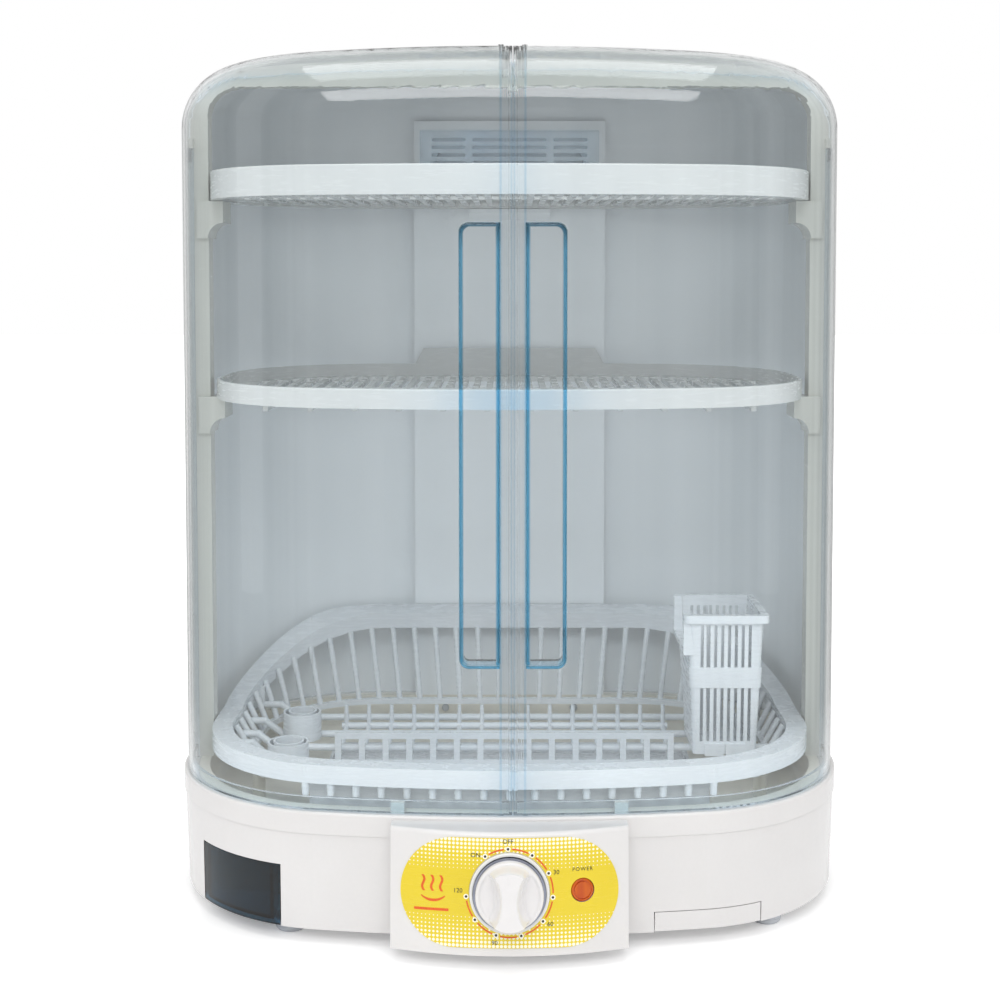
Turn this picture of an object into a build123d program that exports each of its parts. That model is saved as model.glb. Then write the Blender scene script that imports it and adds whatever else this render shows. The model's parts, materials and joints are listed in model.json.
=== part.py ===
"""Upright dish drying cabinet: a warm-air base, two clear swing doors, a rear
shell with an air duct, three removable tiers and a cutlery basket.

Millimetres. +Z is up, -Y is the front. The origin lies on the floor under the
middle of the whole cabinet.
"""
import os
from math import atan2, cos, degrees, pi, radians, sin, sqrt

from build123d import *

# ------------------------------------------------------------------ overall
BODY_W = 425.0           # base, side to side
BODY_D = 284.4           # base, front wall to rear wall
TOTAL_H = 534.0          # floor to the top of the roof ribs
FOOT_H = 8.5             # clear height under the base
BASE_TOP = 80.2          # rim of the base
CORNER_F = 114.0         # plan radius of the front corners
CORNER_R = 118.0         # plan radius of the rear corners
FRONT_BOW = 122.0        # front wall to the centres of the front corners
FIT = 0.3                # gap between a piece and its seat

# ------------------------------------------------------------ control panel
PANEL_W = 138.0
PANEL_TOP = 78.0         # height of its upper edge
PANEL_REACH = 22.0       # how far its face stands ahead of the base at the dial
PANEL_BOW_R = 213.0      # radius of its bulging face, seen from above
PANEL_TILT = 4.9         # degrees, lower edge forward
PANEL_WALL = 2.2
PANEL_EDGE_R = 2.5
DIAL_Z = 44.2            # height of the dial's centre
LABEL_W = 126.0
LABEL_H = 62.4
LABEL_T = 0.4
LABEL_GLUE = 0.05
BEZEL_D = 46.0           # fixed white ring round the knob
BEZEL_H = 2.2
RING_D = 41.8            # bright trim ring on the knob
KNOB_D = 39.0
KNOB_SKIRT_H = 8.0
KNOB_H = 20.0            # panel face to the top of the grip
GRIP_L = 37.0
GRIP_END_W = 23.0
GRIP_WAIST_W = 10.5
LAMP_X = 42.0            # indicator, beside the dial
LAMP_DZ = 0.7
LAMP_D = 13.3
SHAFT_D = 6.0
RUN = 0.05               # radial clearance of turning shafts
SHAFT_TOP = 12.0         # shaft's end inside the knob, above the panel's face
SHAFT_END = -15.0        # and inside the timer
TIMER_W, TIMER_H, TIMER_L = 46.0, 42.0, 27.0
TIMER_EAR = 9.0

# ---------------------------------------------------------------------- base
WALL = 2.5               # wall of the base
DRAFT = 2.0              # how far the lower wall draws in towards the floor
BAND_H = 13.0            # plain band under the rim
BAND_STEP = 0.8
RIM_R = 1.5
LAND_T = 5.0             # thickness of the ledge under the doors
REBATE_IN = 9.0          # ledge width outside the basin's flange
LAND_IN = 14.0           # full ledge width
REBATE_T = 2.0
BASIN_WALL = 2.0
BASIN_FLOOR = 62.0       # upper face of the basin's floor
BASIN_R = 6.0            # round between the basin's wall and floor
DRAIN_D = 10.0
DRAIN_BACK = 75.0        # drain behind the base's front
PLATE_T = 2.0            # bottom plate
FOOT_D = 20.0
FRONT_FEET = ((-133.0, 37.0), (158.0, 48.0))   # x, and depth behind the front
REAR_FEET = ((-140.0, 42.0), (140.0, 42.0))    # x, and distance from the rear
SCREW_D = 3.0
SCREW_HEAD_D = 5.6
SCREW_HEAD_H = 1.8

# ------------------------------------------------------------- base drawers
DRAWER_X0, DRAWER_X1 = -189.4, -137.0
DRAWER_TOP = 46.0
DRAWER_BACK = 140.0      # depth of its rear wall behind the base's front
DRAWER_WALL = 2.2
DRAWER_FASCIA = 3.4
FLAP_X0, FLAP_X1 = 86.0, 151.0
FLAP_TOP = 20.5
FLAP_BACK = 150.0
FLAP_FASCIA = 2.4
FLAP_EDGE = 5.0          # frame round the filter's mesh
FLAP_MESH_BACK = 40.0    # mesh starts this far behind the base's front
MESH_T, MESH_PITCH, MESH_BAR = 0.8, 7.0, 1.8
GUIDE_T = 1.8            # guide ribs beside the drawers
SLIDE_GAP = 0.5

# ------------------------------------------------------------- doors, shell
SHELL_INSET = 2.5        # doors and rear shell stand in from the base
SKIN = 2.5
ROOF_R = 42.0            # round between walls and roof
CROWN_R = 3200.0         # slight crown of the roof, side to side
RIB_H = 0.8              # outer ribs beside the seam
HINGE_BACK = 114.4       # hinge axes behind the base's front
BEAD_R = 3.0             # round rear edge of each door, about its hinge axis
HINGE_GAP = 1.2
PIN_D = 2.4
PIN_IN = 8.0
LUG_Z0, LUG_H = 478.0, 6.0
DOOR_LIFT = 0.8          # door's lower edge above the base
DOOR_GAP = 0.8           # roof gap between doors and rear shell
SEAM_X = 2.0
SEAM_GAP = 0.6
SEAM_FLANGE = 6.0        # inward lips at the seam
DOOR_BAND_H = 7.0        # thick band along the lower edge
DOOR_BAND_T = 2.0
RIB_OFF, RIB_W = 5.5, 3.2
HANDLE_OFF, HANDLE_W = 7.4, 23.6
HANDLE_Z0, HANDLE_Z1 = 170.6, 427.4
HANDLE_OUT = 13.0
HANDLE_R = 5.5
HANDLE_WALL = 2.4
FRAME_T = 3.0            # front frame of the rear shell
FRAME_HALF = 195.0       # half the clear opening
FRAME_TOP = 519.0
FRAME_R = 20.0
FRAME_LIP = 10.0
FRAME_BAND = 0.8
FRAME_BAND_X = 200.6

# ---------------------------------------------------------------- rear duct
DUCT_HALF = 70.6
DUCT_IN = 16.0           # its front face, in from the base's rear
DUCT_TOP = 509.0
DUCT_WALL = 2.0
SLOT_HALF = 60.0         # air slot through the ledge into the duct
COVER_BULGE = 12.0
COVER_HALF, COVER_Z0, COVER_Z1 = 66.0, 96.0, 500.0
COVER_WALL = 2.0
COVER_R = 10.0
VENT_HALF, VENT_Z0, VENT_Z1 = 66.0, 466.0, 502.0
VENT_ROWS, VENT_COLS = 5, 4
VENT_T, VENT_SLOT = 1.6, 2.8
REST_HALF, REST_OUT, REST_H = 30.0, 6.0, 8.0

# -------------------------------------------------------------------- tiers
TIER_FRONT = 12.4        # tiers stand this far behind the base's front
TIER_BACK = 6.0          # tray and shelf farther back still, clear of the doors' seam
TIER_REAR = 18.4         # and this far ahead of its rear
TRAY_HALF, TRAY_Z, TRAY_H = 193.0, 444.5, 18.0
SHELF_HALF, SHELF_Z, SHELF_H = 190.0, 318.0, 12.0
TIER_WALL = 2.4
TIER_FLOOR = 2.0
TIER_LIP = 5.0
TIER_RF, TIER_RR, TIER_BOW = 98.0, 104.0, 107.0
SLOT_W, SLOT_PITCH = 5.0, 9.0
TAB_HALF, TAB_TOP = 69.7, 341.4
TOOTH_PITCH, TOOTH_H = 27.0, 4.0
BRACKET_IN = 185.0
BRACKET_OUT = 202.5
BRACKET_H = 24.0
BRACKET_FACE = 3.0
BRACKET_DEPTH = 24.0

# ---------------------------------------------------------------- dish rack
RACK_HALF = 194.0
RACK_RIM_Z, RACK_RIM_H = 93.1, 11.3
RACK_RIM_W = 13.0
RACK_WALL = 2.2
RACK_BACK_RISE = 45.6
RACK_RISE_FROM = 141.5   # depth behind the front where the rim starts to rise
RACK_WIRE_Z = 85.0       # axis of the cross rods
ROD_D = 4.6
ROD_STEP = 9.0           # how much higher the rods' left ends leave the rim
ROD_BACKS = (122.4, 152.4, 192.4)              # depths behind the base's front
SHORT_ROD_BACK = 102.4
BALL_EXTRA = 0.2         # balls at the rods' bends stand this far proud
POST_D = 4.0
POST_PITCH = 15.7
RACK_RING_Z, RACK_RING_T, RACK_RING_IN = 81.0, 4.0, 22.0
RACK_RING_BACK = 72.0    # the lower rail starts this far behind the front
COMB_X0, COMB_PITCH, COMB_COUNT = -112.6, 15.6, 15
COMB_BACK = 118.4
COMB_TOP, COMB_LOW = 96.0, 74.0
COMB_BAR = 4.0
PIN_BACK = 171.4
PIN_TOP = 99.6
PIN_ROOT_D, PIN_END_D, SLOPE_D = 3.4, 2.6, 3.6
PEG_PITCH, PEG_LOW, PEG_COUNT = 15.3, 85.5, 17
CUP_X, CUP_BACKS = -140.0, (147.4, 79.4)
CUP_D, CUP_BORE, CUP_WALL = 26.0, 17.0, 1.3
CUP_OFFSET = 2.6         # how far the inner tube stands off the cup's centre
CUP_Z, CUP_H = 84.0, 18.0

# ---------------------------------------------------------------- drip tray
DRIP_HALF = 121.0
DRIP_FRONT_IN = 25.0     # its front wall follows the base's front, this far in
DRIP_BACK = 179.0        # its rear wall behind the base's front
DRIP_TOP = 91.5          # upper edge in front
DRIP_LOW = 71.0          # upper edge at the back
DRIP_SLOPE = (50.0, 96.0)                      # depths between which the edge falls

# ----------------------------------------------------------- cutlery basket
BASKET_X0, BASKET_X1 = 111.5, 166.3
BASKET_BACK0, BASKET_BACK1 = 91.4, 160.4
BASKET_Z1 = 179.3        # its rim; it stands on the rack's rods
BASKET_FOOT_W, BASKET_FOOT_D = 41.0, 54.0
BASKET_WALL = 1.8
BASKET_RIM = 5.0
BASKET_CUT = 156.0
BASKET_PITCH = 4.4
BASKET_SLOTS = ((96.0, 131.5), (144.8, 172.5))  # heights of the two rows of slots

# ------------------------------------------------------------ air equipment
FAN_SIZE, FAN_H = 80.0, 25.0
FAN_REAR = 62.0          # fan axis, in from the base's rear
FAN_LIFT = 4.0
FAN_BORE = 76.0
HUB_D = 30.0
BLADE_D = 73.0
BLADES = 7
HEATER_H = 13.0
PLENUM_WALL = 1.5
BUSH_X, BUSH_Z, BUSH_BORE = 78.0, 34.0, 8.0

# ------------------------------------------------------------ derived places
TILT = radians(PANEL_TILT)
NOSE = PANEL_REACH + KNOB_H * cos(TILT) + GRIP_L / 2 * sin(TILT)
TAIL = COVER_BULGE - SHELL_INSET
FRONT = NOSE - (NOSE + BODY_D + TAIL) / 2
REAR = FRONT + BODY_D
HALF = BODY_W / 2
BAND_Z = BASE_TOP - BAND_H
PLATE_Z = FOOT_H + PLATE_T
ROOF_TOP = TOTAL_H + SHELL_INSET - RIB_H
HINGE_X = HALF - SHELL_INSET - BEAD_R
HINGE_Y = FRONT + HINGE_BACK
SHELL_Y = HINGE_Y + BEAD_R + HINGE_GAP
DOOR_Z0 = BASE_TOP + DOOR_LIFT
BEAD_TOP = LUG_Z0 - SLIDE_GAP
SHELL_IN = SHELL_INSET + SKIN
FAN_Y = REAR - FAN_REAR
FAN_Z0 = PLATE_Z + FAN_LIFT
HEATER_Z0 = FAN_Z0 + FAN_H
PLENUM_Z0 = HEATER_Z0 + HEATER_H
BASIN_UNDER = BASIN_FLOOR - BASIN_WALL
BASKET_Z0 = RACK_WIRE_Z + ROD_D / 2 + FIT
TIER_Y0 = FRONT + TIER_FRONT
TIER_Y1 = REAR - TIER_REAR
LOW = (Align.CENTER, Align.CENTER, Align.MIN)
CORNER = (Align.MIN, Align.MIN, Align.MIN)
WIDE = 600.0             # larger than the cabinet, for cutting

# The dial's frame: its origin on the panel's face, its Z out of the panel.
PANEL_UP = Vector(0, sin(TILT), cos(TILT))
PANEL_OUT = Vector(0, -cos(TILT), sin(TILT))
DIAL = Plane(origin=(0, FRONT - PANEL_REACH, DIAL_Z), x_dir=(1, 0, 0), z_dir=PANEL_OUT)


# ----------------------------------------------------------------- helpers
def block(x0, x1, y0, y1, z0, z1):
    """A box between two corners."""
    return Pos(x0, y0, z0) * Box(x1 - x0, y1 - y0, z1 - z0, align=CORNER)


def rod(start, end, diameter):
    """A round rod from one point to another."""
    a, b = Vector(*start), Vector(*end)
    plane = Plane(origin=a, z_dir=(b - a).normalized())
    return plane * Cylinder(diameter / 2, (b - a).length, align=LOW)


def bent_rod(route, diameter):
    """Rods along a route with a slightly thicker ball at each bend, as a list."""
    pieces = [rod(a, b, diameter) for a, b in zip(route, route[1:])]
    return pieces + [Pos(*point) * Sphere(diameter / 2 + BALL_EXTRA) for point in route[1:-1]]


def mirror_x(shape):
    """The same piece on the other side."""
    return mirror(shape, about=Plane.YZ)


def oval(half_w, y0, y1, r_front, r_rear, bow):
    """Plan outline: bowed front, large corners, flat rear, as one face."""
    cx, cy = half_w - r_front, y0 + bow
    big = (cx * cx + bow * bow - r_front * r_front) / (2 * (bow - r_front))
    centre, corner = Vector(0, y0 + big), Vector(cx, cy)
    out = (corner - centre).normalized()
    tangent = centre + out * big
    front_mid = corner + (out + Vector(1, 0)).normalized() * r_front
    rear_corner = Vector(half_w - r_rear, y1 - r_rear)
    rear_mid = rear_corner + Vector(1, 1).normalized() * r_rear
    side0, side1 = Vector(half_w, cy), Vector(half_w, y1 - r_rear)
    back = Vector(half_w - r_rear, y1)

    def flip(v):
        return Vector(-v.X, v.Y)

    edges = [
        ThreePointArc(flip(tangent), (0, y0), tangent),
        ThreePointArc(tangent, front_mid, side0),
        Line(side0, side1),
        ThreePointArc(side1, rear_mid, back),
        Line(back, flip(back)),
        ThreePointArc(flip(back), flip(rear_mid), flip(side1)),
        Line(flip(side1), flip(side0)),
        ThreePointArc(flip(side0), flip(front_mid), flip(tangent)),
    ]
    return make_face(edges)


def outline(inset=0.0):
    """Plan of the cabinet, drawn in by inset."""
    return oval(HALF - inset, FRONT + inset, REAR - inset,
                CORNER_F - inset, CORNER_R - inset, FRONT_BOW - inset)


def tier_outline(half_w, inset=0.0, back=0.0):
    """Plan of a tier, drawn in by inset, its front set back."""
    return oval(half_w - inset, TIER_Y0 + back + inset, TIER_Y1 - inset,
                TIER_RF - inset, TIER_RR - inset, TIER_BOW - inset)


def prism(face, z0, z1):
    """A face in plan, raised from z0 to z1."""
    return extrude(Pos(0, 0, z0) * face, z1 - z0)


def ring(outer, inner, z0, z1):
    """A wall between two plans."""
    return prism(outer, z0, z1) - prism(inner, z0 - 1, z1 + 1)


def hull(inset, z0):
    """The rounded outside of doors and shell together, drawn in by inset."""
    top, radius = ROOF_TOP - inset, CROWN_R - inset
    crown = Pos(0, 0, top - radius) * Rot(90, 0, 0) * Cylinder(radius, WIDE)
    solid = prism(outline(inset), z0, ROOF_TOP) & crown
    rim = [e for e in solid.edges() if e.center().Z > top - ROOF_R / 2]
    return fillet(rim, ROOF_R - inset)


def screw_down(x, y, z_seat, length):
    """A pan-head screw, head on the plane z_seat and shank below it."""
    head = Pos(x, y, z_seat) * Cylinder(SCREW_HEAD_D / 2, SCREW_HEAD_H, align=LOW)
    head = chamfer(head.edges().group_by(Axis.Z)[-1], SCREW_HEAD_H / 3)
    cross = Pos(x, y, z_seat + SCREW_HEAD_H) * (Box(3.0, 0.8, 1.6) + Box(0.8, 3.0, 1.6))
    shank = Pos(x, y, z_seat) * Cylinder(SCREW_D / 2, length,
                                         align=(Align.CENTER, Align.CENTER, Align.MAX))
    return head - cross + shank


def screw_out(place, length):
    """A screw whose head stands along the plane's Z and shank goes the other way."""
    return place * screw_down(0, 0, 0, length)


# -------------------------------------------------------------------- base
def base_envelope(inset, top, fall=0.0):
    """Outside of the base, drawn in by inset: drafted wall and proud band."""
    foot = Pos(0, 0, FOOT_H - fall) * outline(inset + BAND_STEP + DRAFT)
    waist = Pos(0, 0, BAND_Z) * outline(inset + BAND_STEP)
    wall = loft([foot, waist], ruled=True)
    return wall + prism(outline(inset), BAND_Z, top)


BASE_OUT = base_envelope(0.0, BASE_TOP)


def foot_places():
    """Centres of the four feet."""
    front = [(x, FRONT + back) for x, back in FRONT_FEET]
    return front + [(x, REAR - back) for x, back in REAR_FEET]


def drawer_space():
    """Opening in the base for the water drawer."""
    return block(DRAWER_X0 - SLIDE_GAP, DRAWER_X1 + SLIDE_GAP, FRONT - 1,
                 FRONT + DRAWER_BACK, FOOT_H - 1, DRAWER_TOP + SLIDE_GAP)


def flap_space():
    """Opening in the base for the air-filter tray."""
    return block(FLAP_X0 - SLIDE_GAP, FLAP_X1 + SLIDE_GAP, FRONT - 1,
                 FRONT + FLAP_BACK, FOOT_H - 1, FLAP_TOP + SLIDE_GAP)


def air_slot(grow=0.0):
    """Way for the air through the ledge, ahead of the rear wall."""
    return block(-SLOT_HALF - grow, SLOT_HALF + grow, REAR - LAND_IN + FIT - grow,
                 REAR - WALL - BAND_STEP - 1.2 + grow, BASE_TOP - 4 * LAND_T, BASE_TOP + 1)


def make_base_housing():
    solid = BASE_OUT
    rim = solid.edges().filter_by(lambda e: abs(e.center().Z - BASE_TOP) < 0.01)
    solid = fillet(rim, RIM_R)
    solid -= base_envelope(WALL, BASE_TOP - LAND_T)
    solid -= prism(outline(LAND_IN), BASE_TOP - 2 * LAND_T, BASE_TOP + 1)
    solid -= prism(outline(REBATE_IN), BASE_TOP - REBATE_T, BASE_TOP + 1)
    solid -= air_slot()
    # window behind the control panel
    solid -= block(-PANEL_W / 2 + 12, PANEL_W / 2 - 12, FRONT - 1, FRONT + 3 * WALL,
                   FOOT_H + 6, PANEL_TOP - LAND_T - 5)
    front_wall = FRONT + 2 * DRAWER_BACK / 3
    solid -= drawer_space() & block(-WIDE, WIDE, FRONT - 1, front_wall, 0, BASE_TOP)
    solid -= flap_space() & block(-WIDE, WIDE, FRONT - 1, front_wall, 0, BASE_TOP)
    solid -= Pos(BUSH_X, REAR - WALL, BUSH_Z) * Rot(90, 0, 0) * Cylinder(
        BUSH_BORE / 2 + 2.0, 5 * WALL)
    for side in (-1, 1):
        solid -= Pos(side * HINGE_X, HINGE_Y, BASE_TOP - LAND_T + 1) * Cylinder(
            PIN_D / 2, LAND_T, align=LOW)
    return solid


def make_base_basin():
    wall_in = LAND_IN + FIT
    inner = prism(outline(wall_in + BASIN_WALL), BASIN_FLOOR, BASE_TOP + 1)
    inner = fillet(inner.edges().group_by(Axis.Z)[0], BASIN_R)
    solid = prism(outline(wall_in), BASIN_UNDER, BASE_TOP)
    solid += prism(outline(REBATE_IN + FIT), BASE_TOP - REBATE_T, BASE_TOP)
    solid -= inner
    # drain over the water drawer
    drain = Pos((DRAWER_X0 + DRAWER_X1) / 2, FRONT + DRAIN_BACK, 0)
    spout_z = DRAWER_TOP + 1
    solid += drain * Pos(0, 0, spout_z) * Cylinder(DRAIN_D / 2 + BASIN_WALL, BASIN_FLOOR - spout_z,
                                                   align=LOW)
    solid -= drain * Pos(0, 0, spout_z - 1) * Cylinder(DRAIN_D / 2, BASIN_FLOOR, align=LOW)
    # four rests under the dish rack's lower rail
    for x, y in rack_rest_places():
        solid += Pos(x, y, BASIN_FLOOR - 1) * Cylinder(
            RACK_RING_T, RACK_RING_Z - FIT - BASIN_FLOOR + 1, align=LOW)
    solid -= block(-SLOT_HALF, SLOT_HALF, REAR - wall_in, REAR,
                   BASIN_UNDER - 1, BASE_TOP + 1)
    for x in (-48, 48):
        solid -= Pos(x, REAR - wall_in - BASIN_WALL / 2, BASE_TOP - 9.5) * Rot(
            90, 0, 0) * Cylinder(SCREW_D / 2, 2 * BASIN_WALL)
    return solid


def make_drip_tray():
    """Shallow tray on the basin's floor: high in front, low at the back."""
    def plan(inset):
        half = DRIP_HALF - inset
        box = Pos(0, FRONT + DRIP_BACK / 2) * Rectangle(2 * half, DRIP_BACK - 2 * inset)
        return box & outline(DRIP_FRONT_IN + inset)

    z0, y0, y1 = BASIN_FLOOR + FIT, FRONT + DRIP_SLOPE[0], FRONT + DRIP_SLOPE[1]
    side = Plane.YZ * make_face(Polyline(
        (FRONT, z0), (FRONT, DRIP_TOP), (y0, DRIP_TOP), (y1, DRIP_LOW),
        (FRONT + DRIP_BACK, DRIP_LOW), (FRONT + DRIP_BACK, z0), close=True))
    solid = prism(plan(0.0), z0, DRIP_TOP) & extrude(side, DRIP_HALF, both=True)
    return solid - prism(plan(BASIN_WALL), z0 + BASIN_WALL, DRIP_TOP + 1)


def make_bottom_plate():
    solid = prism(outline(WALL + BAND_STEP + DRAFT + FIT), FOOT_H, PLATE_Z)
    # notches under the drawer fronts
    solid -= block(DRAWER_X0 - SLIDE_GAP, DRAWER_X1 + SLIDE_GAP, FRONT - 1,
                   FRONT + 66, 0, PLATE_Z + 1) & BASE_OUT
    solid -= block(FLAP_X0 - SLIDE_GAP, FLAP_X1 + SLIDE_GAP, FRONT - 1,
                   FRONT + 30, 0, PLATE_Z + 1)
    # inlet grille under the filter, outlet side under the fan
    for i in range(9):
        y = FRONT + 46 + 10 * i
        solid -= block(FLAP_X0 + 8, FLAP_X1 - 8, y, y + 5, 0, PLATE_Z + 1)
    # guides for both sliding trays
    for x0, x1, back, top in ((DRAWER_X0 + 4, DRAWER_X1 - 4, DRAWER_BACK, 24.0),
                              (FLAP_X0, FLAP_X1, FLAP_BACK, FLAP_TOP - 2)):
        for x in (x0 - SLIDE_GAP - GUIDE_T, x1 + SLIDE_GAP):
            solid += block(x, x + GUIDE_T, FRONT + 78, FRONT + back, FOOT_H, top)
        solid += block(x0 - SLIDE_GAP - GUIDE_T, x1 + SLIDE_GAP + GUIDE_T,
                       FRONT + back + SLIDE_GAP, FRONT + back + SLIDE_GAP + GUIDE_T, FOOT_H, top)
    # posts under the fan
    reach = FAN_SIZE / 2 - 5
    for sx in (-1, 1):
        for sy in (-1, 1):
            solid += Pos(sx * reach, FAN_Y + sy * reach, FOOT_H) * Cylinder(
                4, FAN_Z0 - FOOT_H, align=LOW)
    for x, y in foot_places():
        solid -= Pos(x, y, 0) * Cylinder(SCREW_D / 2, 3 * FOOT_H)
    return solid


def make_feet():
    feet = []
    for x, y in foot_places():
        foot = Cylinder(FOOT_D / 2, FOOT_H, align=LOW)
        foot = chamfer(foot.edges().group_by(Axis.Z)[0], 1.2)
        foot -= Cylinder(SCREW_HEAD_D / 2 + 0.4, FOOT_H / 2, align=LOW)
        foot -= Cylinder(SCREW_D / 2, 3 * FOOT_H)
        feet.append(Pos(x, y, 0) * foot)
    return feet


def make_foot_screws():
    turn = Rot(180, 0, 0)
    return [Pos(x, y, FOOT_H / 2) * turn * screw_down(0, 0, 0, FOOT_H / 2 + PLATE_T + 2)
            for x, y in foot_places()]


# ------------------------------------------------------------ control panel
def panel_block(inset, z0, z1):
    """The panel's outer form, drawn in by inset, between two heights."""
    half, r = PANEL_W / 2 - inset, PANEL_BOW_R - inset
    sag = r - sqrt(r * r - half * half) + inset
    deep = PANEL_REACH + 14
    face = make_face([
        ThreePointArc((-half, -sag), (0, -inset), (half, -sag)),
        Line((half, -sag), (half, -deep)),
        Line((half, -deep), (-half, -deep)),
        Line((-half, -deep), (-half, -sag)),
    ])
    plane = Plane(origin=DIAL.origin, x_dir=(1, 0, 0), z_dir=-PANEL_UP)
    solid = extrude(plane * face, PANEL_TOP, both=True)
    return solid & block(-WIDE, WIDE, -WIDE, WIDE, z0, z1)


def knob_hole(radius, depth=8.0):
    """A bore square to the panel through the dial's centre."""
    return DIAL * Cylinder(radius, 2 * depth)


def lamp_place():
    """The indicator's frame, square to the bulging face beside the dial."""
    lean = -degrees(atan2(LAMP_X, PANEL_BOW_R))
    drop = PANEL_BOW_R - sqrt(PANEL_BOW_R ** 2 - LAMP_X ** 2)
    return DIAL * Pos(LAMP_X, LAMP_DZ, -drop) * Rot(0, -lean, 0)


def make_control_panel():
    solid = panel_block(0.0, FOOT_H, PANEL_TOP)
    top_front = [e for e in solid.edges()
                 if e.center().Z > PANEL_TOP - 0.01 and e.center().Y < FRONT - PANEL_REACH / 2]
    solid = fillet(top_front, PANEL_EDGE_R)
    solid -= BASE_OUT
    solid -= panel_block(PANEL_WALL, FOOT_H + PANEL_WALL, PANEL_TOP - PANEL_WALL)
    solid -= knob_hole(SHAFT_D / 2 + 0.6)
    solid -= lamp_place() * Cylinder(LAMP_D / 2 + FIT, 12)
    return solid


def make_panel_label():
    stadium = extrude(DIAL * SlotOverall(LABEL_W, LABEL_H), 30, both=True)
    skin = panel_block(-LABEL_T - LABEL_GLUE, FOOT_H, PANEL_TOP)
    skin -= panel_block(-LABEL_GLUE, FOOT_H, PANEL_TOP)
    solid = skin & stadium & block(-WIDE, WIDE, -WIDE, FRONT, 0, BASE_TOP)
    solid -= knob_hole(BEZEL_D / 2 + FIT)
    return solid - lamp_place() * Cylinder(LAMP_D / 2 + FIT, 12)


def make_dial_bezel():
    solid = DIAL * Pos(0, 0, -3) * Cylinder(BEZEL_D / 2, BEZEL_H + 3, align=LOW)
    solid = fillet(solid.faces().sort_by(lambda f: -f.center().Y)[-1].outer_wire().edges(), 0.8)
    solid -= panel_block(0.0, FOOT_H, PANEL_TOP)
    solid -= DIAL * Pos(0, 0, 0.4) * Cylinder(RING_D / 2 + 0.4, BEZEL_H + 3, align=LOW)
    solid -= knob_hole(SHAFT_D / 2 + 0.6)
    return solid


def make_timer_knob():
    disc = Pos(0, 0, 1.0) * Cylinder(KNOB_D / 2, KNOB_SKIRT_H - 1.0, align=LOW)
    disc = fillet(disc.edges().group_by(Axis.Z)[-1], 1.2)
    bar = Pos(0, 0, KNOB_SKIRT_H - 2) * Box(GRIP_END_W, GRIP_L, KNOB_H - KNOB_SKIRT_H + 2, align=LOW)
    # a large scoop on each side leaves the waist
    dip, half = (GRIP_END_W - GRIP_WAIST_W) / 2, GRIP_L / 2
    scoop_r = (half * half + dip * dip) / (2 * dip)
    for side in (-1, 1):
        x = side * (GRIP_WAIST_W / 2 + scoop_r)
        bar -= Pos(x, 0, KNOB_SKIRT_H) * Cylinder(scoop_r, KNOB_H, align=LOW)
    bar &= Cylinder(GRIP_L / 2, 2 * KNOB_H)
    bar = fillet(bar.edges().group_by(Axis.Z)[-1], 1.2)
    solid = disc + bar
    solid -= Cylinder(SHAFT_D / 2, SHAFT_TOP, align=LOW)
    return DIAL * solid


def make_knob_trim_ring():
    solid = Pos(0, 0, 1.0) * (Cylinder(RING_D / 2, 2.6, align=LOW)
                              - Cylinder(KNOB_D / 2, 9))
    return DIAL * solid


def make_timer_shaft():
    return DIAL * Pos(0, 0, SHAFT_END) * Cylinder(SHAFT_D / 2, SHAFT_TOP - SHAFT_END, align=LOW)


def make_timer_body():
    half, inner_r = TIMER_W / 2 + TIMER_EAR, PANEL_BOW_R - PANEL_WALL
    seat = -PANEL_WALL - inner_r + sqrt(inner_r ** 2 - half ** 2) - FIT
    down = (Align.CENTER, Align.CENTER, Align.MAX)
    gear_box = Pos(0, 0, seat) * Box(TIMER_W, TIMER_H, TIMER_L, align=down)
    gear_box = fillet(gear_box.edges().filter_by(Axis.Z), 3)
    solid = gear_box + Pos(0, 0, seat) * Box(2 * half, 12, 1.5, align=down)
    for x in (-12, 0, 12):
        solid += Pos(x, -8, seat - TIMER_L - 7) * Box(0.8, 5, 8, align=LOW)
    solid -= Pos(0, 0, SHAFT_END - FIT) * Cylinder(SHAFT_D / 2 + RUN, WIDE, align=LOW)
    return DIAL * solid


def make_indicator_lens():
    lens = Pos(0, 0, -4) * Cylinder(LAMP_D / 2, 4.2, align=LOW)
    lens = fillet(lens.edges().group_by(Axis.Z)[-1], 1.0)
    lens -= Pos(0, 0, -0.6) * (Cylinder(5.4, 2, align=LOW) - Cylinder(4.6, 2, align=LOW))
    return lamp_place() * lens


def make_indicator_lamp():
    bulb = Pos(0, 0, -4) * Cylinder(3.0, 12, align=(Align.CENTER, Align.CENTER, Align.MAX))
    holder = Pos(0, 0, -10) * Cylinder(5.2, 5, align=(Align.CENTER, Align.CENTER, Align.MAX))
    return lamp_place() * (bulb + holder)


# ------------------------------------------------------------- base drawers
def drawer_front(x0, x1, z0, z1, thickness):
    """A drawer's face, cut from the base's own outer wall."""
    shell = BASE_OUT - base_envelope(thickness, BASE_TOP + 1, fall=0.5)
    return shell & block(x0, x1, FRONT - 1, FRONT + 80, z0, z1)


def make_water_drawer():
    x0, x1 = DRAWER_X0 + 4, DRAWER_X1 - 4
    z0, t = PLATE_Z + FIT, DRAWER_WALL
    box = block(x0, x1, FRONT, FRONT + DRAWER_BACK, z0, DRAWER_TOP - 2)
    box &= base_envelope(1.0, BASE_TOP)
    hollow = block(x0 + t, x1 - t, FRONT, FRONT + DRAWER_BACK - t, z0 + t, DRAWER_TOP + 1)
    hollow &= base_envelope(DRAWER_FASCIA, BASE_TOP)
    face = drawer_front(DRAWER_X0, DRAWER_X1, FOOT_H + FIT, DRAWER_TOP, DRAWER_FASCIA)
    return face + (box - hollow)


def flap_tray():
    """Filter tray's flat frame behind its face."""
    tray = block(FLAP_X0 + 1, FLAP_X1 - 1, FRONT, FRONT + FLAP_BACK, PLATE_Z + FIT, FLAP_TOP - 3)
    return tray & base_envelope(0.8, BASE_TOP)


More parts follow.
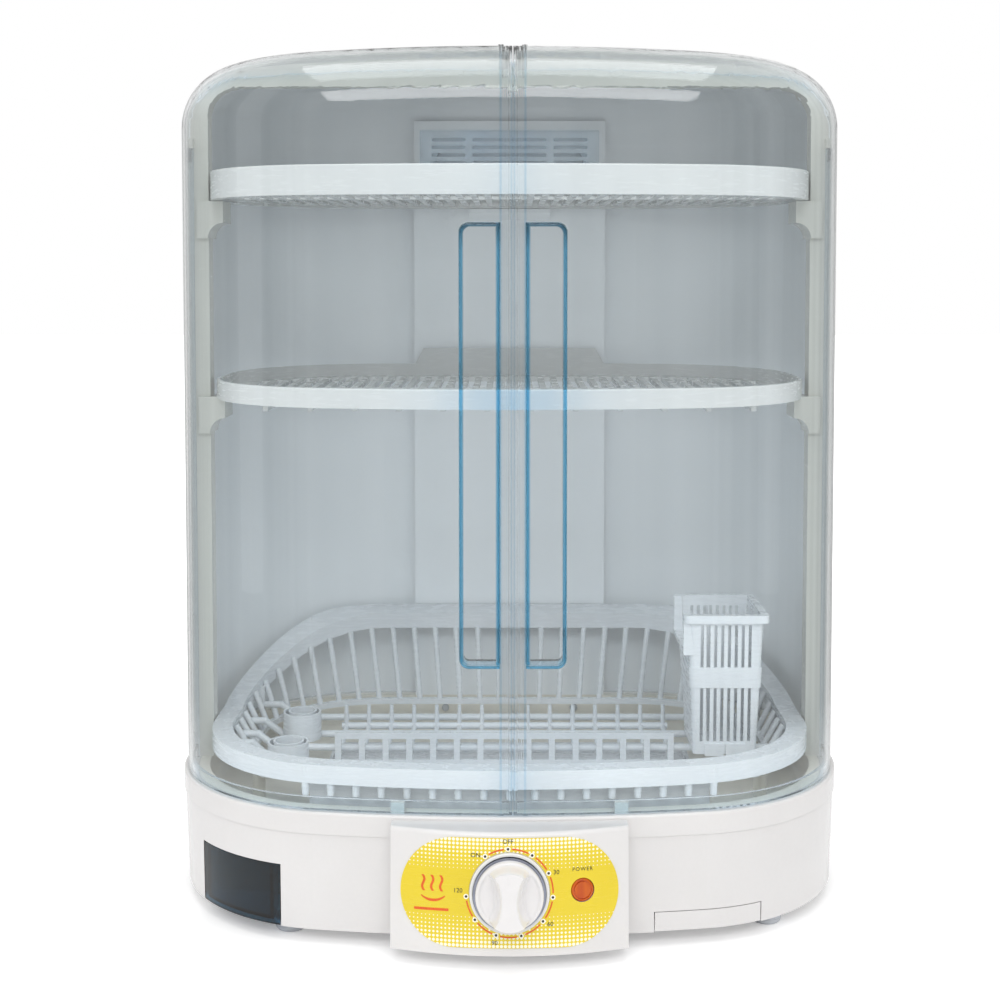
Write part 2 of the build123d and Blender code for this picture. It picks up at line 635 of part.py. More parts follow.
def flap_window(z0):
    """Filter tray's opening over the mesh."""
    return block(FLAP_X0 + FLAP_EDGE, FLAP_X1 - FLAP_EDGE, FRONT + FLAP_MESH_BACK,
                 FRONT + FLAP_BACK - FLAP_EDGE, z0, FLAP_TOP)


def make_filter_tray():
    face = drawer_front(FLAP_X0, FLAP_X1, FOOT_H + 0.6, FLAP_TOP, FLAP_FASCIA)
    frame = flap_tray() - flap_window(PLATE_Z - 1)
    return face + frame


def make_filter_mesh():
    z0 = PLATE_Z + FIT + 2
    width, depth = FLAP_X1 - FLAP_X0 - 2 * FLAP_EDGE, FLAP_BACK - FLAP_EDGE - FLAP_MESH_BACK
    columns, rows = int(width / MESH_PITCH), int(depth / MESH_PITCH)
    px, py = width / columns, depth / rows
    cells = [place * Rectangle(px - MESH_BAR, py - MESH_BAR)
             for place in GridLocations(px, py, columns, rows)]
    centre = Pos((FLAP_X0 + FLAP_X1) / 2, FRONT + FLAP_MESH_BACK + depth / 2)
    return prism(centre * (Rectangle(width, depth) - cells), z0, z0 + MESH_T)


# ------------------------------------------------------------ air equipment
def make_fan_frame():
    shell = Box(FAN_SIZE, FAN_SIZE, FAN_H, align=LOW)
    shell = fillet(shell.edges().filter_by(Axis.Z), 4)
    shell -= Pos(0, 0, -1) * Cylinder(FAN_BORE / 2, FAN_H + 2, align=LOW)
    spokes = Part()
    for i in range(4):
        spokes += Rot(0, 0, 45 + 90 * i) * block(HUB_D / 2 - 1, FAN_BORE / 2 + 1, -1.5, 1.5, 0, 3)
    plate = Cylinder(HUB_D / 2, 3, align=LOW) - Cylinder(3, 10)
    return Pos(0, FAN_Y, FAN_Z0) * (shell + spokes + plate)


def make_fan_motor():
    stator = Pos(0, 0, 3) * Cylinder(HUB_D / 2 - 3.5, 9, align=LOW)
    bearing = Cylinder(3, 12, align=LOW)
    return Pos(0, FAN_Y, FAN_Z0) * (stator + bearing - Cylinder(1.5 + RUN, 40))


def make_fan_shaft():
    return Pos(0, FAN_Y, FAN_Z0 + 1) * Cylinder(1.5, 19, align=LOW)


def make_fan_wheel():
    cup = Pos(0, 0, 4) * Cylinder(HUB_D / 2, 16, align=LOW)
    cup -= Pos(0, 0, 3) * Cylinder(HUB_D / 2 - 2, 11, align=LOW)
    cup -= Cylinder(1.5, 60)
    blade = Pos(0, 0, 12) * Rot(0, 90, 0) * Pos(0, 0, HUB_D / 2 - 1) * Rot(0, 0, 38) * Box(
        15, 1.6, (BLADE_D - HUB_D) / 2 + 1, align=LOW)
    wheel = cup
    for i in range(BLADES):
        wheel += Rot(0, 0, 360 / BLADES * i) * blade
    wheel &= Pos(0, 0, 4) * Cylinder(BLADE_D / 2, 17, align=LOW)
    return Pos(0, FAN_Y, FAN_Z0) * wheel


def make_heater_frame():
    shell = Box(FAN_SIZE, FAN_SIZE, HEATER_H, align=LOW)
    shell = fillet(shell.edges().filter_by(Axis.Z), 4)
    shell -= Pos(0, 0, -1) * Box(FAN_SIZE - 8, FAN_SIZE - 8, HEATER_H + 2, align=LOW)
    return Pos(0, FAN_Y, HEATER_Z0) * shell


def make_heater_element():
    """Two ceramic bars with a stack of fins across them."""
    span = FAN_SIZE - 8
    solid = Part()
    for y in (-14, 14):
        solid += Pos(0, y, 3) * Box(span, 6, 7, align=LOW)
    for i in range(12):
        x = -span / 2 + 3 + (span - 6) * i / 11
        solid += Pos(x, 0, 2) * Box(1, span - 8, 9, align=LOW)
    return Pos(0, FAN_Y, HEATER_Z0) * solid


def make_thermal_cutout():
    """Thermal switch clipped to the heater's front side."""
    y = FAN_Y - FAN_SIZE / 2
    can = Pos(20, y, HEATER_Z0 + HEATER_H / 2) * Rot(90, 0, 0) * Cylinder(5, 4, align=LOW)
    flange = block(10, 30, y - 1, y, HEATER_Z0 + 3.5, HEATER_Z0 + 9.5)
    blades = block(16, 17, y - 11, y - 4, HEATER_Z0 + 4.5, HEATER_Z0 + 8.5)
    return can + flange + blades + Pos(7, 0, 0) * blades


def make_air_plenum():
    """Hood over the heater that turns the air back and up into the duct."""
    t, front, rear = PLENUM_WALL, FAN_Y - FAN_SIZE / 2, REAR - WALL - BAND_STEP - 1.2
    top = BASIN_UNDER - FIT
    hood = block(-SLOT_HALF, SLOT_HALF, front, rear, PLENUM_Z0, top)
    hood += block(-SLOT_HALF, SLOT_HALF, REAR - LAND_IN + FIT, rear, PLENUM_Z0, BASE_TOP)
    hollow = block(-SLOT_HALF + t, SLOT_HALF - t, front + t, rear - t, PLENUM_Z0 + t, top - t)
    hollow += block(-SLOT_HALF + t, SLOT_HALF - t, REAR - LAND_IN + FIT + t, rear - t,
                    PLENUM_Z0 + t, BASE_TOP + 1)
    hollow += block(-FAN_SIZE / 2 + 4, FAN_SIZE / 2 - 4, FAN_Y - FAN_SIZE / 2 + 4,
                    FAN_Y + FAN_SIZE / 2 - 8, PLENUM_Z0 - 1, PLENUM_Z0 + t + 1)
    return hood - hollow


def make_terminal_block():
    solid = block(92, 128, REAR - 66, REAR - 52, PLATE_Z, PLATE_Z + 12)
    for i in range(3):
        solid -= Pos(98 + 12 * i, REAR - 59, PLATE_Z + 6) * Cylinder(2.2, 20, align=LOW)
    return solid


def make_cord_inlet_bush():
    y = REAR - BAND_STEP - DRAFT
    bush = Pos(0, 0, -1.0) * Cylinder(BUSH_BORE / 2 + 2.0, 8, align=LOW)
    bush += Pos(0, 0, 1.4) * Cylinder(BUSH_BORE / 2 + 4.0, 2.0, align=LOW)
    bush -= Cylinder(BUSH_BORE / 2, 40)
    bush = fillet(bush.edges().group_by(Axis.Z)[-1], 0.6)
    bush = Pos(BUSH_X, y, BUSH_Z) * Rot(90, 0, 0) * Rot(180, 0, 0) * Pos(0, 0, -4) * bush
    return bush - (BASE_OUT - base_envelope(WALL, BASE_TOP) - Pos(BUSH_X, REAR, BUSH_Z)
                   * Rot(90, 0, 0) * Cylinder(BUSH_BORE / 2 + 2.0, 40))


# ------------------------------------------------------ rear shell and duct
def make_rear_shell():
    solid = hull(SHELL_INSET, BASE_TOP) - hull(SHELL_IN, BASE_TOP - 1)
    solid &= block(-WIDE, WIDE, SHELL_Y, WIDE, 0, 2 * TOTAL_H)
    # air duct down the middle of the back
    y = REAR - DUCT_IN
    duct = block(-DUCT_HALF, DUCT_HALF, y, REAR - SHELL_IN + 1, BASE_TOP, DUCT_TOP)
    duct -= block(-DUCT_HALF + DUCT_WALL, DUCT_HALF - DUCT_WALL, y + DUCT_WALL, REAR,
                  BASE_TOP - 1, DUCT_TOP - DUCT_WALL)
    solid += duct
    solid -= block(-VENT_HALF + 2, VENT_HALF - 2, y - 1, y + DUCT_WALL + 1,
                   VENT_Z0 + 2, VENT_Z1 - 2)
    # rear rests for the two upper tiers
    for z in (TRAY_Z, SHELF_Z):
        rest = block(-REST_HALF, REST_HALF, y - REST_OUT, y + 1, z - FIT - REST_H, z - FIT)
        solid += chamfer(rest.edges().filter_by(Axis.X).sort_by(Axis.Y)[0:1], REST_OUT - 1.5)
    # moulded boss beside the duct's middle
    solid += Pos(-48, y + 0.5, 434) * Rot(90, 0, 0) * Cylinder(3, 2.5, align=LOW)
    # opening behind the duct cover
    solid -= block(-COVER_HALF + 8, COVER_HALF - 8, REAR - SHELL_IN - 1, REAR,
                   COVER_Z0 + 8, COVER_Z1 - 8)
    for x, z in cover_screw_places():
        solid -= Pos(x, REAR, z) * Rot(90, 0, 0) * Cylinder(SCREW_D / 2, 30)
    return solid


def cover_screw_places():
    """Four screws through the duct cover's flange."""
    return [(sx * (COVER_HALF - 4), z) for sx in (-1, 1)
            for z in (COVER_Z0 + 30, COVER_Z1 - 30)]


def make_duct_cover():
    y = REAR - SHELL_INSET
    flange = block(-COVER_HALF, COVER_HALF, y, y + COVER_WALL, COVER_Z0, COVER_Z1)
    flange = fillet(flange.edges().filter_by(Axis.Y), COVER_R / 2)
    bulge = block(-COVER_HALF + 9, COVER_HALF - 9, y, y + COVER_BULGE, COVER_Z0 + 9, COVER_Z1 - 9)
    bulge = fillet(bulge.edges().filter_by(Axis.Y), COVER_R)
    bulge = fillet(bulge.edges().group_by(Axis.Y)[-1], COVER_R / 2)
    hollow = block(-COVER_HALF + 11, COVER_HALF - 11, y - 1, y + COVER_BULGE - COVER_WALL,
                   COVER_Z0 + 11, COVER_Z1 - 11)
    hollow = fillet(hollow.edges().filter_by(Axis.Y), COVER_R - COVER_WALL)
    solid = flange + bulge - hollow
    for x, z in cover_screw_places():
        solid -= Pos(x, y, z) * Rot(90, 0, 0) * Cylinder(SCREW_D / 2, 30)
    return solid


def make_duct_cover_screws():
    y = REAR - SHELL_INSET + COVER_WALL
    return [screw_out(Plane(origin=(x, y, z), z_dir=(0, 1, 0)), COVER_WALL + SKIN + 1)
            for x, z in cover_screw_places()]


def make_vent_louvre():
    """Clear slotted plate over the duct's outlet."""
    y = REAR - DUCT_IN
    solid = block(-VENT_HALF, VENT_HALF, y - VENT_T, y, VENT_Z0, VENT_Z1)
    solid += block(-VENT_HALF + 2 + FIT, VENT_HALF - 2 - FIT, y, y + DUCT_WALL,
                   VENT_Z0 + 2 + FIT, VENT_Z1 - 2 - FIT)
    width = (2 * VENT_HALF - 12) / VENT_COLS
    pitch = (VENT_Z1 - VENT_Z0 - 8) / VENT_ROWS
    face = Plane(origin=(0, y, (VENT_Z0 + VENT_Z1) / 2), x_dir=(1, 0, 0), z_dir=(0, -1, 0))
    slots = [face * place * SlotOverall(width - 5, VENT_SLOT)
             for place in GridLocations(width, pitch, VENT_COLS, VENT_ROWS)]
    return solid - [extrude(slot, 3 * DUCT_WALL, both=True) for slot in slots]


def make_front_frame():
    y0, y1 = SHELL_Y, SHELL_Y + FRAME_T
    solid = hull(SHELL_IN + 0.1, BASE_TOP) & block(-WIDE, WIDE, y0, y1 + FRAME_LIP, 0, WIDE)
    clear = block(-FRAME_HALF, FRAME_HALF, y0 - 1, y1 + WIDE, 0, FRAME_TOP)
    clear = fillet(clear.edges().filter_by(Axis.Y).group_by(Axis.Z)[-1], FRAME_R)
    behind = block(-WIDE, WIDE, y1, WIDE, 0, WIDE)
    lip_out = block(-FRAME_HALF - FRAME_T, FRAME_HALF + FRAME_T, y0 - 1, WIDE, 0,
                    FRAME_TOP + FRAME_T)
    lip_out = fillet(lip_out.edges().filter_by(Axis.Y).group_by(Axis.Z)[-1], FRAME_R + FRAME_T)
    solid = solid - (behind - lip_out) - clear
    for side in (-1, 1):
        x = side * HINGE_X
        eye = Pos(x, HINGE_Y, LUG_Z0) * Cylinder(BEAD_R - 0.4, LUG_H, align=LOW)
        eye += block(x - BEAD_R + 0.4, x + BEAD_R - 0.4, HINGE_Y, SHELL_Y, LUG_Z0, LUG_Z0 + LUG_H)
        solid += eye
        solid -= Pos(x, HINGE_Y, 0) * Cylinder(PIN_D / 2, WIDE, align=LOW)
    return solid


def make_shelf_brackets():
    """Quarter-round supports on the frame's stiles, one pair for each upper tier."""
    pieces = []
    for z in (TRAY_Z - FIT, SHELF_Z - FIT):
        y0 = SHELL_Y - BRACKET_FACE
        face = block(BRACKET_IN, BRACKET_OUT, y0, SHELL_Y, z - BRACKET_H, z)
        ledge = block(BRACKET_IN, FRAME_HALF, SHELL_Y, SHELL_Y + BRACKET_DEPTH, z - BRACKET_H, z)
        piece = face + ledge
        drop = Pos(BRACKET_IN, y0, z - BRACKET_H) * Rot(90, 0, 0) * Cylinder(
            FRAME_HALF - BRACKET_IN, 4 * BRACKET_DEPTH)
        corner = block(BRACKET_IN - 1, FRAME_HALF, y0 - 1, SHELL_Y + BRACKET_DEPTH + 1,
                       z - BRACKET_H - 1, z - BRACKET_H + FRAME_HALF - BRACKET_IN)
        piece -= drop & corner
        pieces += [piece, mirror_x(piece)]
    return pieces


def make_hinge_pins():
    pins = []
    for side in (-1, 1):
        low = Pos(side * HINGE_X, HINGE_Y, BASE_TOP - LAND_T + 1) * Cylinder(
            PIN_D / 2, LAND_T - 1 + PIN_IN, align=LOW)
        high = Pos(side * HINGE_X, HINGE_Y, BEAD_TOP - PIN_IN) * Cylinder(
            PIN_D / 2, LUG_Z0 + LUG_H - BEAD_TOP + PIN_IN, align=LOW)
        pins += [low, high]
    return pins


# ------------------------------------------------------------------- doors
def door_skins():
    """Both doors' skins before the seam is cut."""
    outer, inner = hull(SHELL_INSET, DOOR_Z0), hull(SHELL_IN, DOOR_Z0 - 1)
    skin = outer - inner
    skin += ring(outline(SHELL_IN - 0.1), outline(SHELL_IN + DOOR_BAND_T),
                 DOOR_Z0, DOOR_Z0 + DOOR_BAND_H)
    # inward lips along the seam and the raised ribs beside it
    half_lip = SEAM_GAP / 2 + SKIN
    lip = block(SEAM_X - half_lip, SEAM_X + half_lip, -WIDE, WIDE, DOOR_Z0, WIDE)
    skin += (inner & lip & block(-WIDE, WIDE, -WIDE, WIDE, DOOR_Z0, WIDE)) - hull(
        SHELL_IN + SEAM_FLANGE, DOOR_Z0 - 1)
    ribs = hull(SHELL_INSET - RIB_H, DOOR_Z0) - outer
    bars = block(SEAM_X - RIB_OFF - RIB_W, SEAM_X - RIB_OFF, -WIDE, WIDE, 0, WIDE)
    bars += block(SEAM_X + RIB_OFF, SEAM_X + RIB_OFF + RIB_W, -WIDE, WIDE, 0, WIDE)
    skin += ribs & bars
    skin &= block(-WIDE, WIDE, -WIDE, SHELL_Y - DOOR_GAP, 0, WIDE)
    return skin, inner


def handle(side):
    """Outside and hollow of one moulded pull, side -1 left or +1 right."""
    near = SEAM_X + side * HANDLE_OFF
    far = near + side * HANDLE_W
    x0, x1 = min(near, far), max(near, far)
    y0 = FRONT + SHELL_INSET - HANDLE_OUT
    body = block(x0, x1, y0, FRONT + 20, HANDLE_Z0, HANDLE_Z1)
    body = fillet(body.edges().filter_by(Axis.Y).filter_by_position(Axis.X, far - 1, far + 1), HANDLE_R)
    body = fillet(body.edges().group_by(Axis.Y)[0], HANDLE_R / 3)
    t = HANDLE_WALL
    hollow = block(x0 + t, x1 - t, y0 + t, FRONT + 30, HANDLE_Z0 + t, HANDLE_Z1 - t)
    inner_far = far - side * t
    corners = hollow.edges().filter_by(Axis.Y).filter_by_position(Axis.X, inner_far - 1, inner_far + 1)
    hollow = fillet(corners, HANDLE_R - t)
    return body, hollow


def make_doors():
    skin, inner = door_skins()
    doors = {}
    for name, side in (("left_door", -1), ("right_door", 1)):
        edge = SEAM_X + side * SEAM_GAP / 2
        half = block(min(edge, side * WIDE), max(edge, side * WIDE), -WIDE, WIDE, 0, WIDE)
        door = skin & half
        x = side * HINGE_X
        # clear the hinge's surroundings, then add the round rear edge
        door -= block(x - 4 * BEAD_R, x + 4 * BEAD_R, HINGE_Y, WIDE, 0, WIDE)
        door += Pos(x, HINGE_Y, DOOR_Z0) * Cylinder(BEAD_R, BEAD_TOP - DOOR_Z0, align=LOW)
        notch = BEAD_R + 0.5
        door -= block(x - notch, x + notch, HINGE_Y - notch, WIDE, BEAD_TOP,
                      LUG_Z0 + LUG_H + SLIDE_GAP)
        for z in (DOOR_Z0, BEAD_TOP - PIN_IN):
            door -= Pos(x, HINGE_Y, z - 0.5) * Cylinder(PIN_D / 2 + RUN, PIN_IN + 1, align=LOW)
        body, hollow = handle(side)
        door += body - inner
        door -= hollow
        doors[name] = door
    return doors


def make_door_catches():
    """Two small clips on the ledge behind the doors' lower bands."""
    gap = SHELL_IN + DOOR_BAND_T + FIT
    wall = ring(outline(gap), outline(gap + 4), BASE_TOP, BASE_TOP + 6)
    pieces = []
    for x in (-66, 66):
        piece = wall & block(x - 4, x + 4, FRONT, FRONT + 40, 0, WIDE)
        pieces.append(piece)
    return pieces


# -------------------------------------------------------------------- tiers
def floor_slots(half_w, z0, z1, length_of):
    """Slots from front to back through a tier's floor, as a list of cutters."""
    count = int(half_w / SLOT_PITCH)
    cutters = []
    for x in [i * SLOT_PITCH for i in range(-count, count + 1)]:
        cutters += [block(x - SLOT_W / 2, x + SLOT_W / 2, y0, y1, z0, z1)
                    for y0, y1 in length_of(abs(x)) if y1 - y0 > 2 * SLOT_W]
    return cutters


def tier_chord(half_w, x, margin):
    """Front and back of a tier's floor at x, less a margin."""
    front_c, rear_c = half_w - TIER_RF, half_w - TIER_RR
    y0, y1 = TIER_Y0 + TIER_BOW - TIER_RF, TIER_Y1
    if x > front_c:
        y0 = TIER_Y0 + TIER_BOW - sqrt(max(TIER_RF ** 2 - (x - front_c) ** 2, 0))
    if x > rear_c:
        y1 = TIER_Y1 - TIER_RR + sqrt(max(TIER_RR ** 2 - (x - rear_c) ** 2, 0))
    return y0 + TIER_BACK + margin, y1 - margin


def tier_body(half_w, z0, height):
    """A shallow round-cornered tray with a rolled rim."""
    outer = prism(tier_outline(half_w, 0, TIER_BACK), z0, z0 + height)
    outer = fillet(outer.edges().group_by(Axis.Z)[-1], 1.0)
    inner = prism(tier_outline(half_w, TIER_WALL, TIER_BACK), z0 + TIER_FLOOR + 1.5, z0 + height + 1)
    return outer - inner


def make_top_tray():
    z = TRAY_Z
    solid = tier_body(TRAY_HALF, z, TRAY_H)
    # underside stands up inside the rim, so the floor shows as thin bars
    solid -= prism(tier_outline(TRAY_HALF, TIER_WALL + TIER_LIP, TIER_BACK), z - 1, z + 1.5)
    mid = (TIER_Y0 + TIER_Y1) / 2

    def lengths(x):
        y0, y1 = tier_chord(TRAY_HALF, x, TIER_WALL + TIER_LIP + 6)
        return ((y0, mid - 4), (mid + 4, y1))

    return solid - floor_slots(TRAY_HALF - 14, z - 1, z + 6, lengths)


def make_middle_shelf():
    z = SHELF_Z
    solid = tier_body(SHELF_HALF, z, SHELF_H)
    mid = (TIER_Y0 + TIER_Y1) / 2

    def lengths(x):
        y0, y1 = tier_chord(SHELF_HALF, x, TIER_WALL + TIER_LIP + 5)
        return ((y0, mid - 4), (mid + 4, y1 - 8))

    solid -= floor_slots(SHELF_HALF - 14, z - 1, z + 6, lengths)
    # raised tab at the back
    face = Plane(origin=(0, TIER_Y1, z), x_dir=(1, 0, 0), z_dir=(0, -1, 0))
    tab = face * make_face(Polyline(
        (-TAB_HALF, 1), (-TAB_HALF, SHELF_H), (-TAB_HALF + 6, TAB_TOP - z),
        (TAB_HALF - 6, TAB_TOP - z), (TAB_HALF, SHELF_H), (TAB_HALF, 1), close=True))
    # drip ribs under the floor
    count = int((SHELF_HALF - 2 * TOOTH_PITCH) / TOOTH_PITCH)
    ribs = [block(x - 1.6, x + 1.6, TIER_Y0 + TIER_BACK + 34, TIER_Y1 - 40, z - TOOTH_H, z + 1)
            for x in [(i + 0.5) * TOOTH_PITCH for i in range(-count - 1, count + 1)]]
    return solid + [extrude(tab, TIER_WALL)] + ribs


# ---------------------------------------------------------------- dish rack
def rack_outline(inset=0.0):
    return tier_outline(RACK_HALF, inset)


def rack_profile(drop, z_low):
    """Side view of the rack's rim: level in front, rising to the back.

    The upper edge lies drop below the rim's top; the solid goes down to z_low.
    """
    top = RACK_RIM_Z + RACK_RIM_H - drop
    y0, y3 = FRONT + RACK_RISE_FROM, TIER_Y1 + 5
    rise = Spline((y0, top), (FRONT + 214, top + 0.38 * RACK_BACK_RISE),
                  (FRONT + 250, top + 0.87 * RACK_BACK_RISE), (y3, top + RACK_BACK_RISE),
                  tangents=((1, 0), (1, 0)))
    lines = Polyline((y3, top + RACK_BACK_RISE), (y3, z_low), (FRONT - 10, z_low),
                     (FRONT - 10, top), (y0, top))
    face = Plane(origin=(0, 0, 0), x_dir=(0, 1, 0), z_dir=(1, 0, 0)) * make_face(
        [rise] + lines.edges())
    return extrude(face, WIDE / 2, both=True)


def rim_top(y):
    """Height of the rim's upper edge at a depth."""
    part = (y - FRONT - RACK_RISE_FROM) / (TIER_Y1 + 5 - FRONT - RACK_RISE_FROM)
    part = min(max(part, 0.0), 1.0)
    return RACK_RIM_Z + RACK_RIM_H + RACK_BACK_RISE * part ** 1.8


def tier_walk(half_w, inset, pitch, y_from):
    """Points along a tier's outline behind y_from, from the middle of the back."""
    rr, w, y1 = TIER_RR - inset, half_w - inset, TIER_Y1 - inset
    flat, turn = w - rr, rr * pi / 2
    points, s = [], pitch / 2
    while True:
        if s < flat:
            x, y = s, y1
        elif s < flat + turn:
            a = (s - flat) / rr
            x, y = flat + rr * sin(a), y1 - rr + rr * cos(a)
        else:
            x, y = w, y1 - rr - (s - flat - turn)
        if y < y_from:
            return points
        points += [(x, y), (-x, y)]
        s += pitch


def rack_half_at(y, inset):
    """Half the rack's width at a depth, drawn in by inset."""
    rear, front = TIER_RR - inset, TIER_RF - inset
    half = RACK_HALF - inset
    past = y - (TIER_Y1 - TIER_RR)
    ahead = TIER_Y0 + TIER_BOW - y
    if past > 0:
        return half - rear + sqrt(rear ** 2 - past ** 2)
    if ahead > 0:
        return half - front + sqrt(front ** 2 - ahead ** 2)
    return half


def rack_rest_places():
    """Where the rack's lower rail sits on the basin."""
    mid = RACK_RING_IN + RACK_RING_T / 2
    y_front, y_rear = FRONT + RACK_RING_BACK + 2 * RACK_RING_T, TIER_Y1 - TIER_RR / 2
    places = []
    for y in (y_front, y_rear):
        x = rack_half_at(y, mid)
        places += [(-x, y), (x, y)]
    return places


def rack_rim():
    """Inverted channel that follows the rising outline."""
    wall = RACK_WALL
    band = ring(rack_outline(), rack_outline(RACK_RIM_W), RACK_RIM_Z - 2, 200)
    solid = band & rack_profile(0.0, 0)
    solid -= rack_profile(RACK_RIM_H, 0)
    groove = ring(rack_outline(wall), rack_outline(RACK_RIM_W - wall), 0, 200)
    return solid - (groove & rack_profile(wall, 0))


def rack_rail():
    """Lower rail behind the front, with an upright to the rim at each end."""
    low = ring(rack_outline(RACK_RING_IN), rack_outline(RACK_RING_IN + RACK_RING_T),
               RACK_RING_Z, RACK_RING_Z + RACK_RING_T)
    pieces = [low & block(-WIDE, WIDE, FRONT + RACK_RING_BACK, WIDE, 0, WIDE)]
    end_y, ring_mid = FRONT + RACK_RING_BACK + RACK_RING_T / 2, RACK_RING_IN + RACK_RING_T / 2
    low_x, top_x = rack_half_at(end_y, ring_mid), rack_half_at(end_y, RACK_RIM_W - 1)
    for side in (-1, 1):
        pieces.append(rod((side * low_x, end_y, RACK_RING_Z + 1),
                          (side * top_x, end_y, RACK_RIM_Z + RACK_RIM_H / 2), RACK_RING_T))
    return pieces


def rack_fence():
    """Leaning posts from the rim's inner face to the lower rail."""
    pieces = []
    shift = RACK_RING_IN + RACK_RING_T / 2 - RACK_RIM_W
    for x, y in tier_walk(RACK_HALF, RACK_RIM_W + POST_D / 2 - 1.2, POST_PITCH, HINGE_Y - 10):
        length = sqrt(x * x + (y - HINGE_Y) ** 2)
        foot = (x * (1 - shift / length), y - (y - HINGE_Y) * shift / length, RACK_RING_Z + 1)
        pieces.append(rod(foot, (x, y, rim_top(y) - RACK_RIM_H / 3), POST_D))
    return pieces


def rack_pegs():
    """Row of pegs under the front rim."""
    pieces = []
    for i in range(PEG_COUNT):
        x = (i - (PEG_COUNT - 1) / 2) * PEG_PITCH
        y = TIER_Y0 + RACK_RIM_W / 2 + x * x / 1700
        pieces.append(Pos(x, y, PEG_LOW) * Cone(
            2.2, 3.0, RACK_RIM_Z + RACK_RIM_H - RACK_WALL / 2 - PEG_LOW, align=LOW))
    return pieces


def rack_rods():
    """Cross rods: they drop from the rim at the left and turn up at the right."""
    pieces, z = [], RACK_WIRE_Z
    for back in ROD_BACKS:
        y = FRONT + back
        half, top = rack_half_at(y, RACK_RIM_W) - 0.8, rim_top(y) - RACK_RIM_H / 2
        pieces += bent_rod([(-half, y, top), (-half, y, z + ROD_STEP), (14 - half, y, z + ROD_STEP),
                            (26 - half, y, z), (half, y, z), (half, y, top)], ROD_D)
    y = FRONT + SHORT_ROD_BACK
    half = rack_half_at(y, RACK_RIM_W) - 0.8
    pieces += bent_rod([(-half, y, RACK_RIM_Z + RACK_RIM_H / 2), (-half, y, z + ROD_STEP),
                        (12 - half, y, z + ROD_STEP), (22 - half, y, z), (CUP_X, y, z)], ROD_D)
    return pieces


def rack_comb():
    """Ladder of teeth across the rack."""
    y, x_last = FRONT + COMB_BACK, COMB_X0 + COMB_PITCH * (COMB_COUNT - 1)
    pieces = [block(COMB_X0 - 2, x_last + 2, y - 1.5, y + 1.5, z, z + COMB_BAR)
              for z in (COMB_LOW, COMB_TOP - COMB_BAR)]
    for i in range(COMB_COUNT):
        x = COMB_X0 + COMB_PITCH * i
        pieces.append(block(x - 2, x + 2, y - 1.5, y + 1.5, COMB_LOW, COMB_TOP))
    return pieces


def rack_pins():
    """A pin behind each tooth, on a rod that slopes down to the comb."""
    comb_y, y, z = FRONT + COMB_BACK, FRONT + PIN_BACK, RACK_WIRE_Z
    x_last = COMB_X0 + COMB_PITCH * (COMB_COUNT - 1)
    pieces = [rod((COMB_X0 - 3, y, z), (x_last + 3, y, z), ROD_D)]
    for i in range(COMB_COUNT):
        x = COMB_X0 + COMB_PITCH * i
        pieces.append(rod((x, comb_y, COMB_LOW + COMB_BAR / 2), (x, y, z), SLOPE_D))
        pieces.append(Pos(x, y, z) * Cone(PIN_ROOT_D / 2, PIN_END_D / 2, PIN_TOP - z, align=LOW))
    return pieces


def rack_cups():
    """Two round holders on a rod at the left."""
    pieces = [rod((CUP_X, FRONT + CUP_BACKS[1], RACK_WIRE_Z),
                  (CUP_X, FRONT + ROD_BACKS[-1], RACK_WIRE_Z), POST_D)]
    for back in CUP_BACKS:
        cup = Cylinder(CUP_D / 2, CUP_H, align=LOW)
        cup -= Pos(0, 0, 2) * Cylinder(CUP_D / 2 - CUP_WALL, CUP_H, align=LOW)
        tube = Cylinder(CUP_BORE / 2 + CUP_WALL, CUP_H, align=LOW)
        tube -= Pos(0, 0, 2) * Cylinder(CUP_BORE / 2, CUP_H, align=LOW)
        pieces.append(Pos(CUP_X, FRONT + back, CUP_Z) * (cup + Pos(0, CUP_OFFSET, 0) * tube))
    return pieces


def make_dish_rack():
    solid = rack_rim()
    for group in (rack_rail(), rack_fence(), rack_pegs(), rack_rods(), rack_comb(), rack_pins(),
                  rack_cups()):
        solid += group
    return solid


# ----------------------------------------------------------- cutlery basket
def basket_block(grow, z0, z1):
    """The tapered basket's outside, grown or shrunk by grow all round."""
    x_mid = (BASKET_X0 + BASKET_X1) / 2
    y_mid = FRONT + (BASKET_BACK0 + BASKET_BACK1) / 2
    top_w, top_d = BASKET_X1 - BASKET_X0 - 6, BASKET_BACK1 - BASKET_BACK0 - 6
    span = BASKET_Z1 - BASKET_Z0

    def at(z):
        part = (z - BASKET_Z0) / span
        w = BASKET_FOOT_W + (top_w - BASKET_FOOT_W) * part + 2 * grow
        d = BASKET_FOOT_D + (top_d - BASKET_FOOT_D) * part + 2 * grow
        return Pos(x_mid, y_mid, z) * RectangleRounded(w, d, max(3 + grow, 0.6))

    return loft([at(z0), at(z1)], ruled=True)


